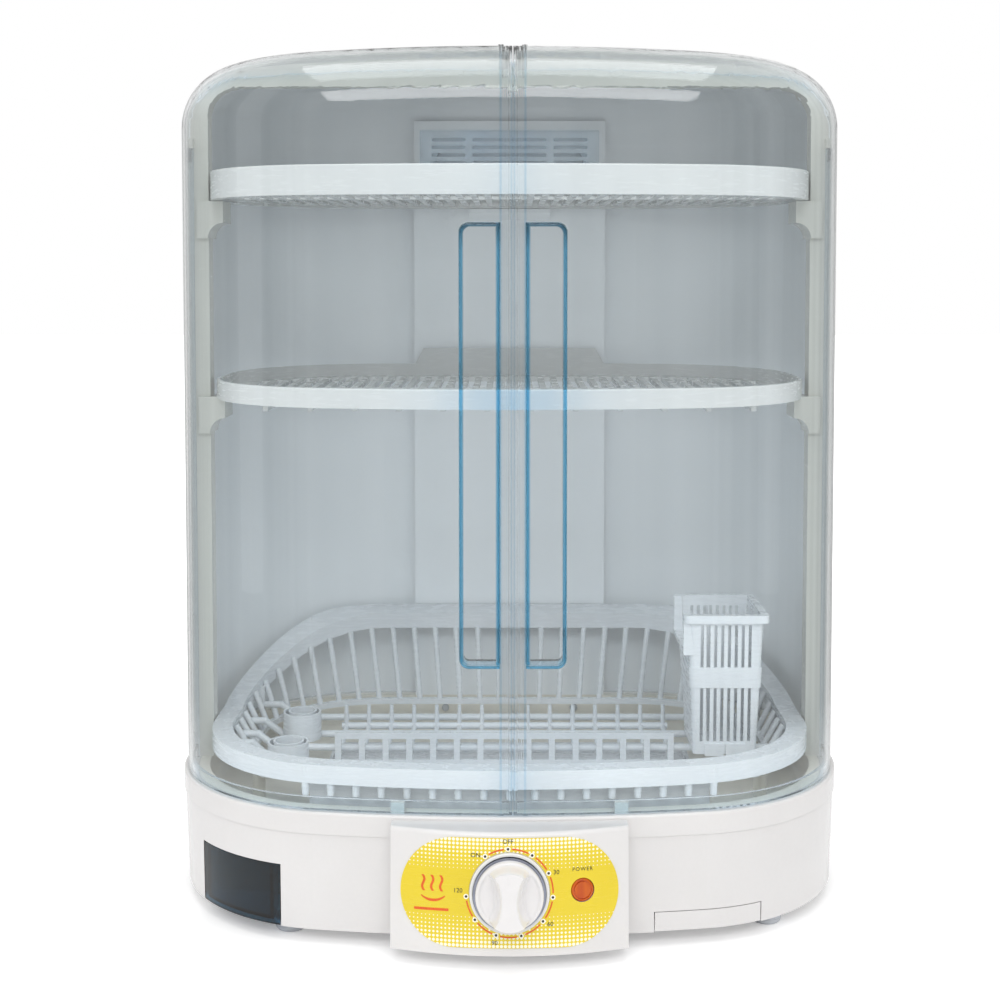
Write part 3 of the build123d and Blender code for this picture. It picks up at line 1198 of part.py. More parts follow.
def make_cutlery_basket():
    t = BASKET_WALL
    x_mid = (BASKET_X0 + BASKET_X1) / 2
    y_mid = FRONT + (BASKET_BACK0 + BASKET_BACK1) / 2
    solid = basket_block(0, BASKET_Z0, BASKET_Z1)
    solid += basket_block(0.8, BASKET_SLOTS[0][1], BASKET_SLOTS[1][0])
    rim = Pos(x_mid, y_mid, BASKET_Z1 - BASKET_RIM) * extrude(RectangleRounded(
        BASKET_X1 - BASKET_X0, BASKET_BACK1 - BASKET_BACK0, 4), BASKET_RIM)
    solid += rim
    solid -= basket_block(-t, BASKET_Z0 + t, BASKET_Z1 + 1)
    # the left wall is cut down, with a strip along the cut
    y0, y1 = FRONT + BASKET_BACK0, FRONT + BASKET_BACK1
    cut = block(BASKET_X0 - 1, BASKET_X0 + 9, y0 + 7, y1 - 7, BASKET_CUT, WIDE)
    solid -= cut
    strip = block(BASKET_X0, BASKET_X0 + 7, y0 + 4, y1 - 4, BASKET_CUT - 3, BASKET_CUT)
    strip += block(BASKET_X0, BASKET_X0 + 7, y0 + 4, y0 + 7, BASKET_CUT - 3, BASKET_Z1)
    strip += block(BASKET_X0, BASKET_X0 + 7, y1 - 7, y1 - 4, BASKET_CUT - 3, BASKET_Z1)
    solid += strip - basket_block(-t, BASKET_Z0 + t, BASKET_Z1 + 1)
    # upright slots in the front and back
    low, high = BASKET_SLOTS
    cuts = []
    for i in range(8):
        x = x_mid + (i - 3.5) * BASKET_PITCH
        cuts += [block(x - 1.0, x + 1.0, y0 - 5, y1 + 5, *low),
                 block(x - 1.0, x + 1.0, y0 - 5, y1 + 5, *high)]
    for i in range(9):
        y = y_mid + (i - 4) * 1.2 * BASKET_PITCH
        cuts += [block(BASKET_X0 - 5, BASKET_X1 + 5, y - 1.1, y + 1.1, *low),
                 block(x_mid, BASKET_X1 + 5, y - 1.1, y + 1.1, *high)]
    solid -= cuts
    # feet plates at the lower front
    y_foot = y_mid - BASKET_FOOT_D / 2
    feet = [block(x, x + 12.4, y_foot - 1.2, y_foot + 1, BASKET_Z0 - 1, BASKET_Z0 + 7)
            for x in (x_mid - 13, x_mid + 0.6)]
    return solid + feet


# --------------------------------------------------------------- fastenings
def make_basin_screws():
    """Two screws that hold the basin's rear wall to the duct behind it."""
    y = REAR - LAND_IN - FIT - BASIN_WALL
    return [screw_out(Plane(origin=(x, y, BASE_TOP - 9.5), z_dir=(0, -1, 0)),
                      BASIN_WALL - 0.2) for x in (-48, 48)]


def main():
    os.makedirs("parts", exist_ok=True)
    nodes = {
        "base_housing": make_base_housing(),
        "base_basin": make_base_basin(),
        "drip_tray": make_drip_tray(),
        "base_bottom_plate": make_bottom_plate(),
        "feet": make_feet(),
        "foot_screws": make_foot_screws(),
        "control_panel": make_control_panel(),
        "panel_label": make_panel_label(),
        "dial_bezel": make_dial_bezel(),
        "timer_knob": make_timer_knob(),
        "knob_trim_ring": make_knob_trim_ring(),
        "timer_shaft": make_timer_shaft(),
        "timer_body": make_timer_body(),
        "indicator_lens": make_indicator_lens(),
        "indicator_lamp": make_indicator_lamp(),
        "water_drawer": make_water_drawer(),
        "filter_tray": make_filter_tray(),
        "filter_mesh": make_filter_mesh(),
        "fan_frame": make_fan_frame(),
        "fan_motor": make_fan_motor(),
        "fan_shaft": make_fan_shaft(),
        "fan_wheel": make_fan_wheel(),
        "heater_frame": make_heater_frame(),
        "heater_element": make_heater_element(),
        "thermal_cutout": make_thermal_cutout(),
        "air_plenum": make_air_plenum(),
        "terminal_block": make_terminal_block(),
        "cord_inlet_bush": make_cord_inlet_bush(),
        "rear_shell": make_rear_shell(),
        "duct_cover": make_duct_cover(),
        "duct_cover_screws": make_duct_cover_screws(),
        "vent_louvre": make_vent_louvre(),
        "front_frame": make_front_frame(),
        "shelf_brackets": make_shelf_brackets(),
        "hinge_pins": make_hinge_pins(),
        "door_catches": make_door_catches(),
        "basin_screws": make_basin_screws(),
        "top_tray": make_top_tray(),
        "middle_shelf": make_middle_shelf(),
        "dish_rack": make_dish_rack(),
        "cutlery_basket": make_cutlery_basket(),
    }
    nodes.update(make_doors())
    for name, shape in nodes.items():
        if isinstance(shape, list):
            shape = Compound(children=[s for piece in shape for s in piece.solids()])
        export_step(shape, f"parts/{name}.step")


main()
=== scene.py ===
"""Dish drying cabinet, dressed in Blender.

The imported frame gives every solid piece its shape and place. This file gives
them their plastics, metals and clear doors, and adds the printed dial, the
sculpted knob, the rubber feet and a plain studio.
"""
import json
from math import cos, pi, radians, sin, sqrt

import bpy
from bpy.props import FloatProperty, FloatVectorProperty, PointerProperty
from mathutils import Matrix, Vector


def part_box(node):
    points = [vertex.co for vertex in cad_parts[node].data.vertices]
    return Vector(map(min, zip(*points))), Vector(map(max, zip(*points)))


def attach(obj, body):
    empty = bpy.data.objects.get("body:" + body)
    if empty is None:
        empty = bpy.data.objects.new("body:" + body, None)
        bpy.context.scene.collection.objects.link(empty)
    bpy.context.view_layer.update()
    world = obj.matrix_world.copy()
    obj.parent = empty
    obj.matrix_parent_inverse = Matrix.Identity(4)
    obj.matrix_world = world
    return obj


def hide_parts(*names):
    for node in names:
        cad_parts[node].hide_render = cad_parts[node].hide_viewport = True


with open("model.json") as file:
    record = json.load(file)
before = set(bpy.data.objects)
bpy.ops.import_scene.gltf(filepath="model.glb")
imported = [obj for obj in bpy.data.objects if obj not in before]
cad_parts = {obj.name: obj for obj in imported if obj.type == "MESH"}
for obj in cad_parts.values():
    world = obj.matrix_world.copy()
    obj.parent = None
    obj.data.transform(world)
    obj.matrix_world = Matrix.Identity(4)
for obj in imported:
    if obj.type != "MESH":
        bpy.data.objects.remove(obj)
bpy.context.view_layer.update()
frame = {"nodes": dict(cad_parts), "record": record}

bl_info = {
    "name": "Dish drying cabinet",
    "version": (1, 0, 0),
    "blender": (4, 5, 0),
    "location": "View3D > Sidebar > Dish Dryer",
    "description": "Finishes a dish drying cabinet: plastics, clear doors, dial, knob, feet, studio",
    "category": "Object",
}

MM = 0.001
NODES = frame["nodes"]

# The dial's place on the control panel, in metres, and the panel's lean.
DIAL_Z = 0.0442
PANEL_LEAN = radians(4.9)
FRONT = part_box("base_housing")[0][1]
DIAL_Y = FRONT - 0.022
LAMP_X = 0.042
DOOR_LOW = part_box("left_door")[0][2]
DOOR_SIDE, DOOR_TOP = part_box("right_door")[1][0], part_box("right_door")[1][2]
HINGE_Y = FRONT + 0.1144
PANEL_UP = Vector((0, sin(PANEL_LEAN), cos(PANEL_LEAN)))
PANEL_OUT = Vector((0, -cos(PANEL_LEAN), sin(PANEL_LEAN)))


def paint(red, green, blue):
    """A colour given as a screen shows it, 0 to 255, in Blender's linear values."""
    def linear(part):
        part /= 255
        return part / 12.92 if part <= 0.04045 else ((part + 0.055) / 1.055) ** 2.4
    return tuple(linear(part) for part in (red, green, blue))


def colour_setting(label, told, default):
    return FloatVectorProperty(name=label, description=told, default=default,
                               subtype="COLOR", size=3, min=0, max=1)


def power_setting(label, told, default):
    return FloatProperty(name=label, description=told, default=default, subtype="POWER", unit="POWER")


def length_setting(label, told, default):
    return FloatProperty(name=label, description=told, default=default, subtype="DISTANCE",
                         unit="LENGTH")


# --------------------------------------------------------------------------
# Settings that a user would change
# --------------------------------------------------------------------------
class CabinetColours(bpy.types.PropertyGroup):
    """Colours of the moulded pieces."""
    base: colour_setting("Base", "Glossy white of the base and control panel", paint(224, 222, 221))
    basin: colour_setting("Basin", "Warm white of the basin under the rack", paint(236, 231, 220))
    tray: colour_setting("Drip tray", "Pale grey of the drip tray", paint(233, 234, 236))
    tier: colour_setting("Tiers", "White of the top tray and middle shelf", paint(214, 214, 213))
    rack: colour_setting("Dish rack", "Pale grey of the dish rack", paint(229, 231, 234))
    basket: colour_setting("Cutlery basket", "Pale grey of the cutlery basket", paint(233, 235, 238))
    shell: colour_setting("Rear shell", "Grey of the rear shell and duct", paint(243, 245, 247))
    # the front frame's colour is set below its cream white: painted shade for the shade that falls on
    # its strips
    frame: colour_setting("Front frame", "Cream white of the front frame", paint(217, 215, 208))
    clear: colour_setting("Doors", "Faint blue of the clear doors", paint(251, 254, 255))
    edge: colour_setting("Door edges", "Blue that thick clear edges gather", paint(104, 190, 230))
    drawer: colour_setting("Water drawer", "Smoke blue of the water drawer", paint(58, 112, 142))
    label: colour_setting("Label", "Yellow ground of the printed label", paint(228, 203, 32))
    accent: colour_setting("Print", "Orange of the printed dashes", paint(228, 96, 24))


class CabinetSizes(bpy.types.PropertyGroup):
    """Sizes of the pieces made here."""
    dot_radius: length_setting("Dot", "Radius of the dial's dots", 0.75 * MM)
    halo_radius: length_setting("Halo", "Radius of the white round each dot", 1.45 * MM)
    dial_radius: length_setting("Dial", "Radius of the circle that the dots stand on", 25 * MM)
    digit_size: length_setting("Digits", "Size of the dial's numbers", 3.6 * MM)
    ink: length_setting("Ink", "How far the print stands on the label", 0.04 * MM)
    screen_pitch: length_setting("Dot screen", "Distance between the label's white dots", 2.3 * MM)
    knob_radius: length_setting("Knob", "Radius of the knob's skirt", 19.5 * MM)
    knob_height: length_setting("Knob height", "From the panel to the top of the grip", 20 * MM)
    skirt_height: length_setting("Skirt height", "From the panel to the top of the skirt", 8 * MM)


class StudioSettings(bpy.types.PropertyGroup):
    """Camera and lamps."""
    lens: FloatProperty(name="Lens", description="Focal length", default=57.38, unit="CAMERA",
                        min=10, max=300)
    distance: length_setting("Distance", "Camera to the front of the base", 0.9159)
    eye: length_setting("Eye height", "Height of the camera", 0.4035)
    pitch: FloatProperty(name="Pitch", description="How far the camera looks down",
                         default=radians(3.08), subtype="ANGLE", unit="ROTATION")
    key: power_setting("Key lamp", "Power of the large lamp on the left", 4.6)
    fill: power_setting("Fill lamp", "Power of the large lamp on the right", 3.6)
    front: power_setting("Front lamp", "Power of the lamp over the camera", 25.0)
    top: power_setting("Top lamp", "Power of the lamp overhead", 9.0)
    sky: FloatProperty(name="Sky", description="Strength of the even light all round",
                       default=0.78, min=0, max=2)


# --------------------------------------------------------------------------
# Small tools
# --------------------------------------------------------------------------
def pick(thing):
    """Makes one object the only selected and the active one."""
    bpy.ops.object.select_all(action="DESELECT")
    thing.select_set(True)
    bpy.context.view_layer.objects.active = thing


def edit():
    bpy.ops.object.mode_set(mode="EDIT")


def done():
    bpy.ops.object.mode_set(mode="OBJECT")


def extrude(*step):
    """Extrudes what is selected and moves it by the step."""
    bpy.ops.mesh.extrude_region_move(TRANSFORM_OT_translate={"value": step})


def resize(share):
    """Draws what is selected in or out, level."""
    bpy.ops.transform.resize(value=(share, share, 1))


def fresh(add, **settings):
    """A new object from an operator that adds one."""
    bpy.ops.object.select_all(action="DESELECT")
    add(**settings)
    return bpy.context.object


def apply_all(thing, **settings):
    """Applies each modifier in turn: kind=dict(its settings)."""
    pick(thing)
    for kind, values in settings.items():
        stage = thing.modifiers.new(kind, kind)
        for field, value in values.items():
            setattr(stage, field, value)
        bpy.ops.object.modifier_apply(modifier=stage.name)


def settle(thing):
    """Puts the object's place into its mesh."""
    pick(thing)
    bpy.ops.object.transform_apply(location=True, rotation=True, scale=True)


def joined(things, name):
    """One object from several."""
    bpy.ops.object.select_all(action="DESELECT")
    for thing in things:
        thing.select_set(True)
    bpy.context.view_layer.objects.active = things[0]
    if len(things) > 1:
        bpy.ops.object.join()
    things[0].name = things[0].data.name = name
    return things[0]


def hand_over(piece, body, slot, *materials):
    """Gives a new piece its body and materials; slot is not used."""
    piece.data.materials.clear()
    for material in materials:
        piece.data.materials.append(material)
    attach(piece, body)


def merged_copy(node, name):
    """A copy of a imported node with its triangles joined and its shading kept."""
    source = NODES[node]
    mesh = source.data.copy()
    normals = [tuple(corner.vector) for corner in source.data.corner_normals]
    piece = bpy.data.objects.new(name, mesh)
    bpy.context.scene.collection.objects.link(piece)
    pick(piece)
    edit()
    bpy.ops.mesh.select_all(action="SELECT")
    bpy.ops.mesh.remove_doubles(threshold=1e-6)
    done()
    if len(mesh.loops) == len(normals):
        mesh.normals_split_custom_set(normals)
    else:
        bpy.ops.object.shade_smooth_by_angle(angle=radians(32))
    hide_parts(node)
    return piece


# --------------------------------------------------------------------------
# Shader node groups
# --------------------------------------------------------------------------
def wire(tree, kind, feeds=None, **fields):
    """Adds a node. feeds fills its inputs, from a socket or with a value."""
    item = tree.nodes.new("ShaderNode" + kind)
    for field, value in fields.items():
        setattr(item, field, value)
    for key, value in (feeds or {}).items():
        if isinstance(value, bpy.types.NodeSocket):
            tree.links.new(value, item.inputs[key])
        else:
            item.inputs[key].default_value = value
    return item


def calc(tree, operation, *values):
    return wire(tree, "Math", dict(enumerate(values)), operation=operation).outputs[0]


def minus(tree, first, second):
    return calc(tree, "SUBTRACT", first, second)


def times(tree, first, second):
    return calc(tree, "MULTIPLY", first, second)


def most(tree, first, second):
    return calc(tree, "MAXIMUM", first, second)


def away_from(tree, value, middle=0.0):
    """How far a value is from the middle, on either side."""
    return calc(tree, "ABSOLUTE", minus(tree, value, middle))


def squared(tree, value):
    return calc(tree, "POWER", value, 2.0)


def spread(tree, value, low, high, to_low, to_high):
    """Maps one range to another, held at its ends."""
    return wire(tree, "MapRange", {"Value": value, "From Min": low, "From Max": high,
                                   "To Min": to_low, "To Max": to_high}).outputs[0]


def blend(tree, share, first, second):
    """Mixes two colours."""
    item = wire(tree, "Mix", data_type="RGBA")
    for key, value in ((0, share), (6, first), (7, second)):
        if isinstance(value, bpy.types.NodeSocket):
            tree.links.new(value, item.inputs[key])
        else:
            item.inputs[key].default_value = value if key == 0 else (*value, 1)
    return item.outputs[2]


def noise(tree, place, scale, detail, roughness=0.5):
    return wire(tree, "TexNoise", {"Vector": place, "Scale": scale, "Detail": detail,
                                   "Roughness": roughness}).outputs["Fac"]


def stretched(tree, place, scale, turn=(0, 0, 0)):
    return wire(tree, "Mapping", {"Vector": place, "Scale": scale, "Rotation": turn}).outputs[0]


def start_group(name, takes, gives):
    """An empty shader group with named inputs and outputs."""
    group = bpy.data.node_groups.new(name, "ShaderNodeTree")
    for label, default in takes.items():
        kind = "NodeSocketFloat" if isinstance(default, (int, float)) else "NodeSocketColor"
        socket = group.interface.new_socket(label, in_out="INPUT", socket_type=kind)
        socket.default_value = default if isinstance(default, (int, float)) else (*default, 1)
    for label in gives:
        kind = "NodeSocketColor" if label == "Colour" else "NodeSocketFloat"
        group.interface.new_socket(label, in_out="OUTPUT", socket_type=kind)
    return group, group.nodes.new("NodeGroupInput").outputs, group.nodes.new("NodeGroupOutput")


def group_node(tree, group, feeds=None):
    item = tree.nodes.new("ShaderNodeGroup")
    item.node_tree = group
    for key, value in (feeds or {}).items():
        if isinstance(value, bpy.types.NodeSocket):
            tree.links.new(value, item.inputs[key])
        else:
            item.inputs[key].default_value = (*value, 1) if isinstance(value, tuple) else value
    return item.outputs


def make_moulded_group():
    """Injection-moulded plastic: drifting tone, fine grain and faint rubbing."""
    group, takes, out = start_group(
        "moulded_plastic",
        {"Colour": (0.8, 0.8, 0.8), "Shade": (0.7, 0.7, 0.7), "Drift": 9.0, "Roughness": 0.3,
         "Rubbing": 0.08, "Grain": 1400.0},
        ("Colour", "Roughness", "Height"))
    place = wire(group, "TexCoord").outputs["Object"]
    cloud = noise(group, place, takes["Drift"], 3.0, 0.55)
    fleck = noise(group, place, 420.0, 2.0)
    share = calc(group, "ADD", spread(group, cloud, 0.35, 0.7, 0.0, 0.85),
                 spread(group, fleck, 0.3, 0.8, 0.0, 0.22))
    tone = blend(group, share, takes["Colour"], takes["Shade"])
    # faint wiping marks, longer than they are wide
    wiped = noise(group, stretched(group, place, (26, 26, 190), (0.5, 0.3, 0.9)), 3.0, 5.0, 0.65)
    rubbed = times(group, spread(group, wiped, 0.45, 0.75, -0.5, 1.0), takes["Rubbing"])
    grain = noise(group, place, takes["Grain"], 2.0)
    rough = calc(group, "ADD", calc(group, "ADD", takes["Roughness"], rubbed),
                 spread(group, grain, 0.2, 0.8, -0.02, 0.03))
    height = calc(group, "ADD", calc(group, "MULTIPLY", grain, 0.35),
                  calc(group, "MULTIPLY", cloud, 0.65))
    group.links.new(tone, out.inputs["Colour"])
    group.links.new(rough, out.inputs["Roughness"])
    group.links.new(height, out.inputs["Height"])
    return group


def make_clear_group():
    """Clear moulded plastic: flow waves, wiping marks and a tint that drifts."""
    group, takes, out = start_group(
        "clear_plastic",
        {"Colour": (0.9, 0.95, 1.0), "Shade": (0.8, 0.9, 0.95), "Roughness": 0.03, "Flow": 14.0},
        ("Colour", "Roughness", "Height"))
    place = wire(group, "TexCoord").outputs["Object"]
    flow = noise(group, stretched(group, place, (1.0, 1.0, 0.12)), takes["Flow"], 2.0, 0.4)
    wiped = noise(group, stretched(group, place, (30, 30, 260), (0.2, 0.5, 0.4)), 2.0, 5.0)
    tone = blend(group, spread(group, flow, 0.35, 0.7, 0.0, 1.0), takes["Colour"], takes["Shade"])
    rough = calc(group, "ADD", takes["Roughness"], spread(group, wiped, 0.5, 0.8, 0.0, 0.02))
    group.links.new(tone, out.inputs["Colour"])
    group.links.new(rough, out.inputs["Roughness"])
    group.links.new(flow, out.inputs["Height"])
    return group


def make_metal_group():
    """Drawn or plated metal: fine lines round the piece and small dull spots."""
    group, takes, out = start_group(
        "worked_metal",
        {"Colour": (0.6, 0.6, 0.6), "Shade": (0.4, 0.4, 0.4), "Roughness": 0.25, "Lines": 900.0},
        ("Colour", "Roughness", "Height"))
    place = wire(group, "TexCoord").outputs["Object"]
    line = noise(group, stretched(group, place, (0.06, 1.0, 1.0)), takes["Lines"], 3.0)
    spot = noise(group, place, 160.0, 4.0)
    tone = blend(group, spread(group, spot, 0.45, 0.75, 0.0, 0.8), takes["Colour"], takes["Shade"])
    rough = calc(group, "ADD", takes["Roughness"],
                 calc(group, "ADD", spread(group, line, 0.3, 0.7, -0.05, 0.08),
                      spread(group, spot, 0.5, 0.8, 0.0, 0.15)))
    group.links.new(tone, out.inputs["Colour"])
    group.links.new(rough, out.inputs["Roughness"])
    group.links.new(line, out.inputs["Height"])
    return group


def make_dot_screen_group():
    """White dots on a square screen that grow towards the label's long edges."""
    group, takes, out = start_group(
        "dot_screen", {"Pitch": 2.3 * MM, "Middle": DIAL_Z, "Bare": 13.5 * MM, "Edge": 31 * MM,
                       "Largest": 0.98 * MM}, ("Mask",))
    place = wire(group, "TexCoord").outputs["Object"]
    axes = wire(group, "SeparateXYZ", {"Vector": place}).outputs
    up = minus(group, axes["Z"], takes["Middle"])

    def from_middle(value):
        cell = calc(group, "ADD", calc(group, "DIVIDE", value, takes["Pitch"]), 100.5)
        return minus(group, calc(group, "FRACT", cell), 0.5)

    off = calc(group, "SQRT", calc(group, "ADD", squared(group, from_middle(axes["X"])),
                                   squared(group, from_middle(up))))
    off = times(group, off, takes["Pitch"])
    reach = calc(group, "DIVIDE", minus(group, calc(group, "ABSOLUTE", up), takes["Bare"]),
                 minus(group, takes["Edge"], takes["Bare"]))
    size = times(group, spread(group, reach, 0.0, 1.0, 0.28, 1.0), takes["Largest"])
    size = times(group, size, spread(group, reach, -0.01, 0.0, 0.0, 1.0))
    mask = spread(group, minus(group, size, off), -0.06 * MM, 0.1 * MM, 0.0, 1.0)
    group.links.new(mask, out.inputs["Mask"])
    return group


def make_thick_edge_and_painted_shade_group():
    """Where a door is seen through its thickness, and where shade is painted on it.

    Mask is the blue of its pull, seam, rim and hinge, Deep a painted shade, navy over the pull's top,
    Shade a painted grey shade and dim reflection on its flank and roof, and Ridge the fine ribs beside
    the seam.
    """
    group, takes, out = start_group(
        "thick_edges_and_painted_shade", {"Side": 1.0, "Seam": 2 * MM, "Pull Middle": 19.2 * MM, "Pull Half": 11.8 * MM,
                        "Pull Height": 0.299, "Pull Half Height": 0.1284, "Corner": 7 * MM,
                        "Wall": 2.0 * MM, "Rim": DOOR_LOW + 7 * MM, "Hinge": HINGE_Y - 2.5 * MM,
                        "Flank": DOOR_SIDE - 10 * MM, "Roof": DOOR_TOP - 14 * MM,
                        "Rib Pitch": 2.4 * MM}, ("Mask", "Painted Pull Shade", "Shade", "Ridge"))
    place = wire(group, "TexCoord").outputs["Object"]
    axes = wire(group, "SeparateXYZ", {"Vector": place}).outputs
    off_seam = times(group, minus(group, axes["X"], takes["Seam"]), takes["Side"])
    from_pull = minus(group, off_seam, takes["Pull Middle"])
    across = minus(group, calc(group, "ABSOLUTE", from_pull), takes["Pull Half"])
    upright = minus(group, away_from(group, axes["Z"], takes["Pull Height"]), takes["Pull Half Height"])
    # the pull's outer corners are round, those at the seam square
    corner = times(group, takes["Corner"], calc(group, "GREATER_THAN", from_pull, 0.0))
    right, up = calc(group, "ADD", across, corner), calc(group, "ADD", upright, corner)
    reach = calc(group, "SQRT", calc(group, "ADD", squared(group, most(group, right, 0.0)),
                                     squared(group, most(group, up, 0.0))))
    within = calc(group, "MINIMUM", most(group, right, up), 0.0)
    inside = minus(group, corner, calc(group, "ADD", reach, within))
    pull = times(group, spread(group, inside, -0.3 * MM, 0.2 * MM, 0.0, 1.0),
                 spread(group, minus(group, inside, takes["Wall"]), -0.2 * MM, 0.7 * MM, 1.0, 0.0))
    # painted shade: the pull's blue darkens to navy towards its top
    top = minus(group, minus(group, axes["Z"], takes["Pull Height"]), takes["Pull Half Height"])
    painted_pull_shade = times(group, pull, spread(group, top, -16 * MM, 0.0, 0.0, 0.75))
    lip = spread(group, off_seam, 0.6 * MM, 1.4 * MM, 0.25, 0.0)
    rib = spread(group, away_from(group, off_seam, 7.1 * MM), 0.3 * MM, 0.9 * MM, 0.3, 0.0)
    rim = spread(group, minus(group, axes["Z"], takes["Rim"]), -1 * MM, 1 * MM, 0.15, 0.0)
    tail = spread(group, minus(group, axes["Y"], takes["Hinge"]), 0.0, 2 * MM, 0.0, 0.35)
    mask = most(group, most(group, pull, lip), most(group, rib, most(group, rim, tail)))
    # painted shade: grey where the door curves round its flank and roof, standing in for shade and the
    # dim room mirrored there
    flank = spread(group, minus(group, calc(group, "ABSOLUTE", axes["X"]), takes["Flank"]),
                   0.0, 7 * MM, 0.0, 0.8)
    roof = spread(group, minus(group, axes["Z"], takes["Roof"]), 0.0, 10 * MM, 0.0, 0.5)
    turns = calc(group, "DIVIDE", off_seam, takes["Rib Pitch"])
    near_seam = spread(group, calc(group, "ABSOLUTE", off_seam), 7.4 * MM, 8.2 * MM, 1.0, 0.0)
    ridge = times(group, calc(group, "SINE", times(group, turns, 2 * pi)), near_seam)
    group.links.new(mask, out.inputs["Mask"])
    group.links.new(painted_pull_shade, out.inputs["Painted Pull Shade"])
    group.links.new(most(group, flank, roof), out.inputs["Shade"])
    group.links.new(ridge, out.inputs["Ridge"])
    return group


GROUPS = {}
WHITE = (1, 1, 1, 1)


def shared_groups():
    if not GROUPS:
        GROUPS.update(moulded=make_moulded_group(), clear=make_clear_group(), metal=make_metal_group(),
                      screen=make_dot_screen_group(), edges=make_thick_edge_and_painted_shade_group())
    return GROUPS


# --------------------------------------------------------------------------
# Materials
# --------------------------------------------------------------------------
def darker(colour, share):
    return tuple(part * share for part in colour)


def blank_material(name):
    material = bpy.data.materials.new(name)
    material.use_nodes = True
    tree = material.node_tree
    tree.nodes.clear()
    shader = wire(tree, "BsdfPrincipled")
    output = wire(tree, "OutputMaterial")
    tree.links.new(shader.outputs[0], output.inputs["Surface"])
    return material, tree, shader, output


def bumped(tree, shader, height, depth, strength=1.0):
    bump = wire(tree, "Bump", {"Height": height, "Distance": depth, "Strength": strength})
    tree.links.new(bump.outputs[0], shader.inputs["Normal"])


def moulded(name, colour, shade=0.93, rough=0.3, rubbing=0.08, drift=9.0, grain=1400.0, depth=0.005,
            coat=0.0, glow=0.0):
    """Opaque moulded plastic. depth is in millimetres."""
    material, tree, shader, _ = blank_material(name)
    parts = group_node(tree, shared_groups()["moulded"],
                       {"Colour": tuple(colour), "Shade": darker(colour, shade), "Drift": drift,
                        "Roughness": rough, "Rubbing": rubbing, "Grain": grain})
    tree.links.new(parts["Colour"], shader.inputs["Base Color"])
    tree.links.new(parts["Roughness"], shader.inputs["Roughness"])
    bumped(tree, shader, parts["Height"], depth * MM)
    shader.inputs["IOR"].default_value = 1.5
    shader.inputs["Coat Weight"].default_value = coat
    shader.inputs["Coat Roughness"].default_value = 0.08
    if glow:
        shader.inputs["Subsurface Weight"].default_value = glow
        shader.inputs["Subsurface Radius"].default_value = (0.004, 0.0036, 0.003)
    return material


def clear(name, colour, shade, rough=0.0, flow=14.0, depth=0.03, through=1.0, edge=None, side=1.0):
    """Clear plastic that also lets the lamps' light through to what stands behind."""
    material, tree, shader, output = blank_material(name)
    parts = group_node(tree, shared_groups()["clear"],
                       {"Colour": tuple(colour), "Shade": tuple(shade), "Roughness": rough,
                        "Flow": flow})
    tint = parts["Colour"]
    bumped(tree, shader, parts["Height"], depth * MM)
    if edge:
        edges = group_node(tree, shared_groups()["edges"], {"Side": side})
        tint = blend(tree, edges["Mask"], tint, edge)
        # painted shade: navy over the top of each pull
        tint = blend(tree, edges["Painted Pull Shade"], tint, darker(edge, 0.12))
        # painted shade: grey on the doors' flank and roof curves
        tint = blend(tree, edges["Shade"], tint, paint(176, 182, 180))
        ribbed = wire(tree, "Bump", {"Height": edges["Ridge"], "Distance": 0.1 * MM,
                                     "Normal": shader.inputs["Normal"].links[0].from_socket})
        tree.links.new(ribbed.outputs[0], shader.inputs["Normal"])
    tree.links.new(tint, shader.inputs["Base Color"])
    tree.links.new(parts["Roughness"], shader.inputs["Roughness"])
    shader.inputs["IOR"].default_value = 1.49
    shader.inputs["Transmission Weight"].default_value = through
    path = wire(tree, "LightPath").outputs
    veil = wire(tree, "BsdfTransparent")
    tree.links.new(tint, veil.inputs["Color"])
    mix = wire(tree, "MixShader")
    tree.links.new(most(tree, path["Is Shadow Ray"], path["Is Diffuse Ray"]), mix.inputs[0])
    tree.links.new(shader.outputs[0], mix.inputs[1])
    tree.links.new(veil.outputs[0], mix.inputs[2])
    tree.links.new(mix.outputs[0], output.inputs["Surface"])
    return material


def metal(name, colour, shade=0.75, rough=0.22, lines=900.0, depth=0.004):
    material, tree, shader, _ = blank_material(name)
    parts = group_node(tree, shared_groups()["metal"],
                       {"Colour": tuple(colour), "Shade": darker(colour, shade), "Roughness": rough,
                        "Lines": lines})
    tree.links.new(parts["Colour"], shader.inputs["Base Color"])
    tree.links.new(parts["Roughness"], shader.inputs["Roughness"])
    bumped(tree, shader, parts["Height"], depth * MM)
    shader.inputs["Metallic"].default_value = 1.0
    return material


def printed_label(colours, sizes):
    """Yellow film with a screen of white dots along its long edges."""
    material, tree, shader, _ = blank_material("printed_yellow_film")
    parts = group_node(tree, shared_groups()["moulded"],
                       {"Colour": tuple(colours.label), "Shade": darker(colours.label, 0.95),
                        "Drift": 30.0,
                        "Roughness": 0.26, "Rubbing": 0.05, "Grain": 2500.0})
    dots = group_node(tree, shared_groups()["screen"], {"Pitch": sizes.screen_pitch})["Mask"]
    dotted = blend(tree, dots, parts["Colour"], paint(250, 248, 226))
    tree.links.new(dotted, shader.inputs["Base Color"])
    tree.links.new(parts["Roughness"], shader.inputs["Roughness"])
    bumped(tree, shader, parts["Height"], 0.006 * MM)
    shader.inputs["Coat Weight"].default_value = 0.35
    shader.inputs["Coat Roughness"].default_value = 0.12
    return material


FINISH = {}


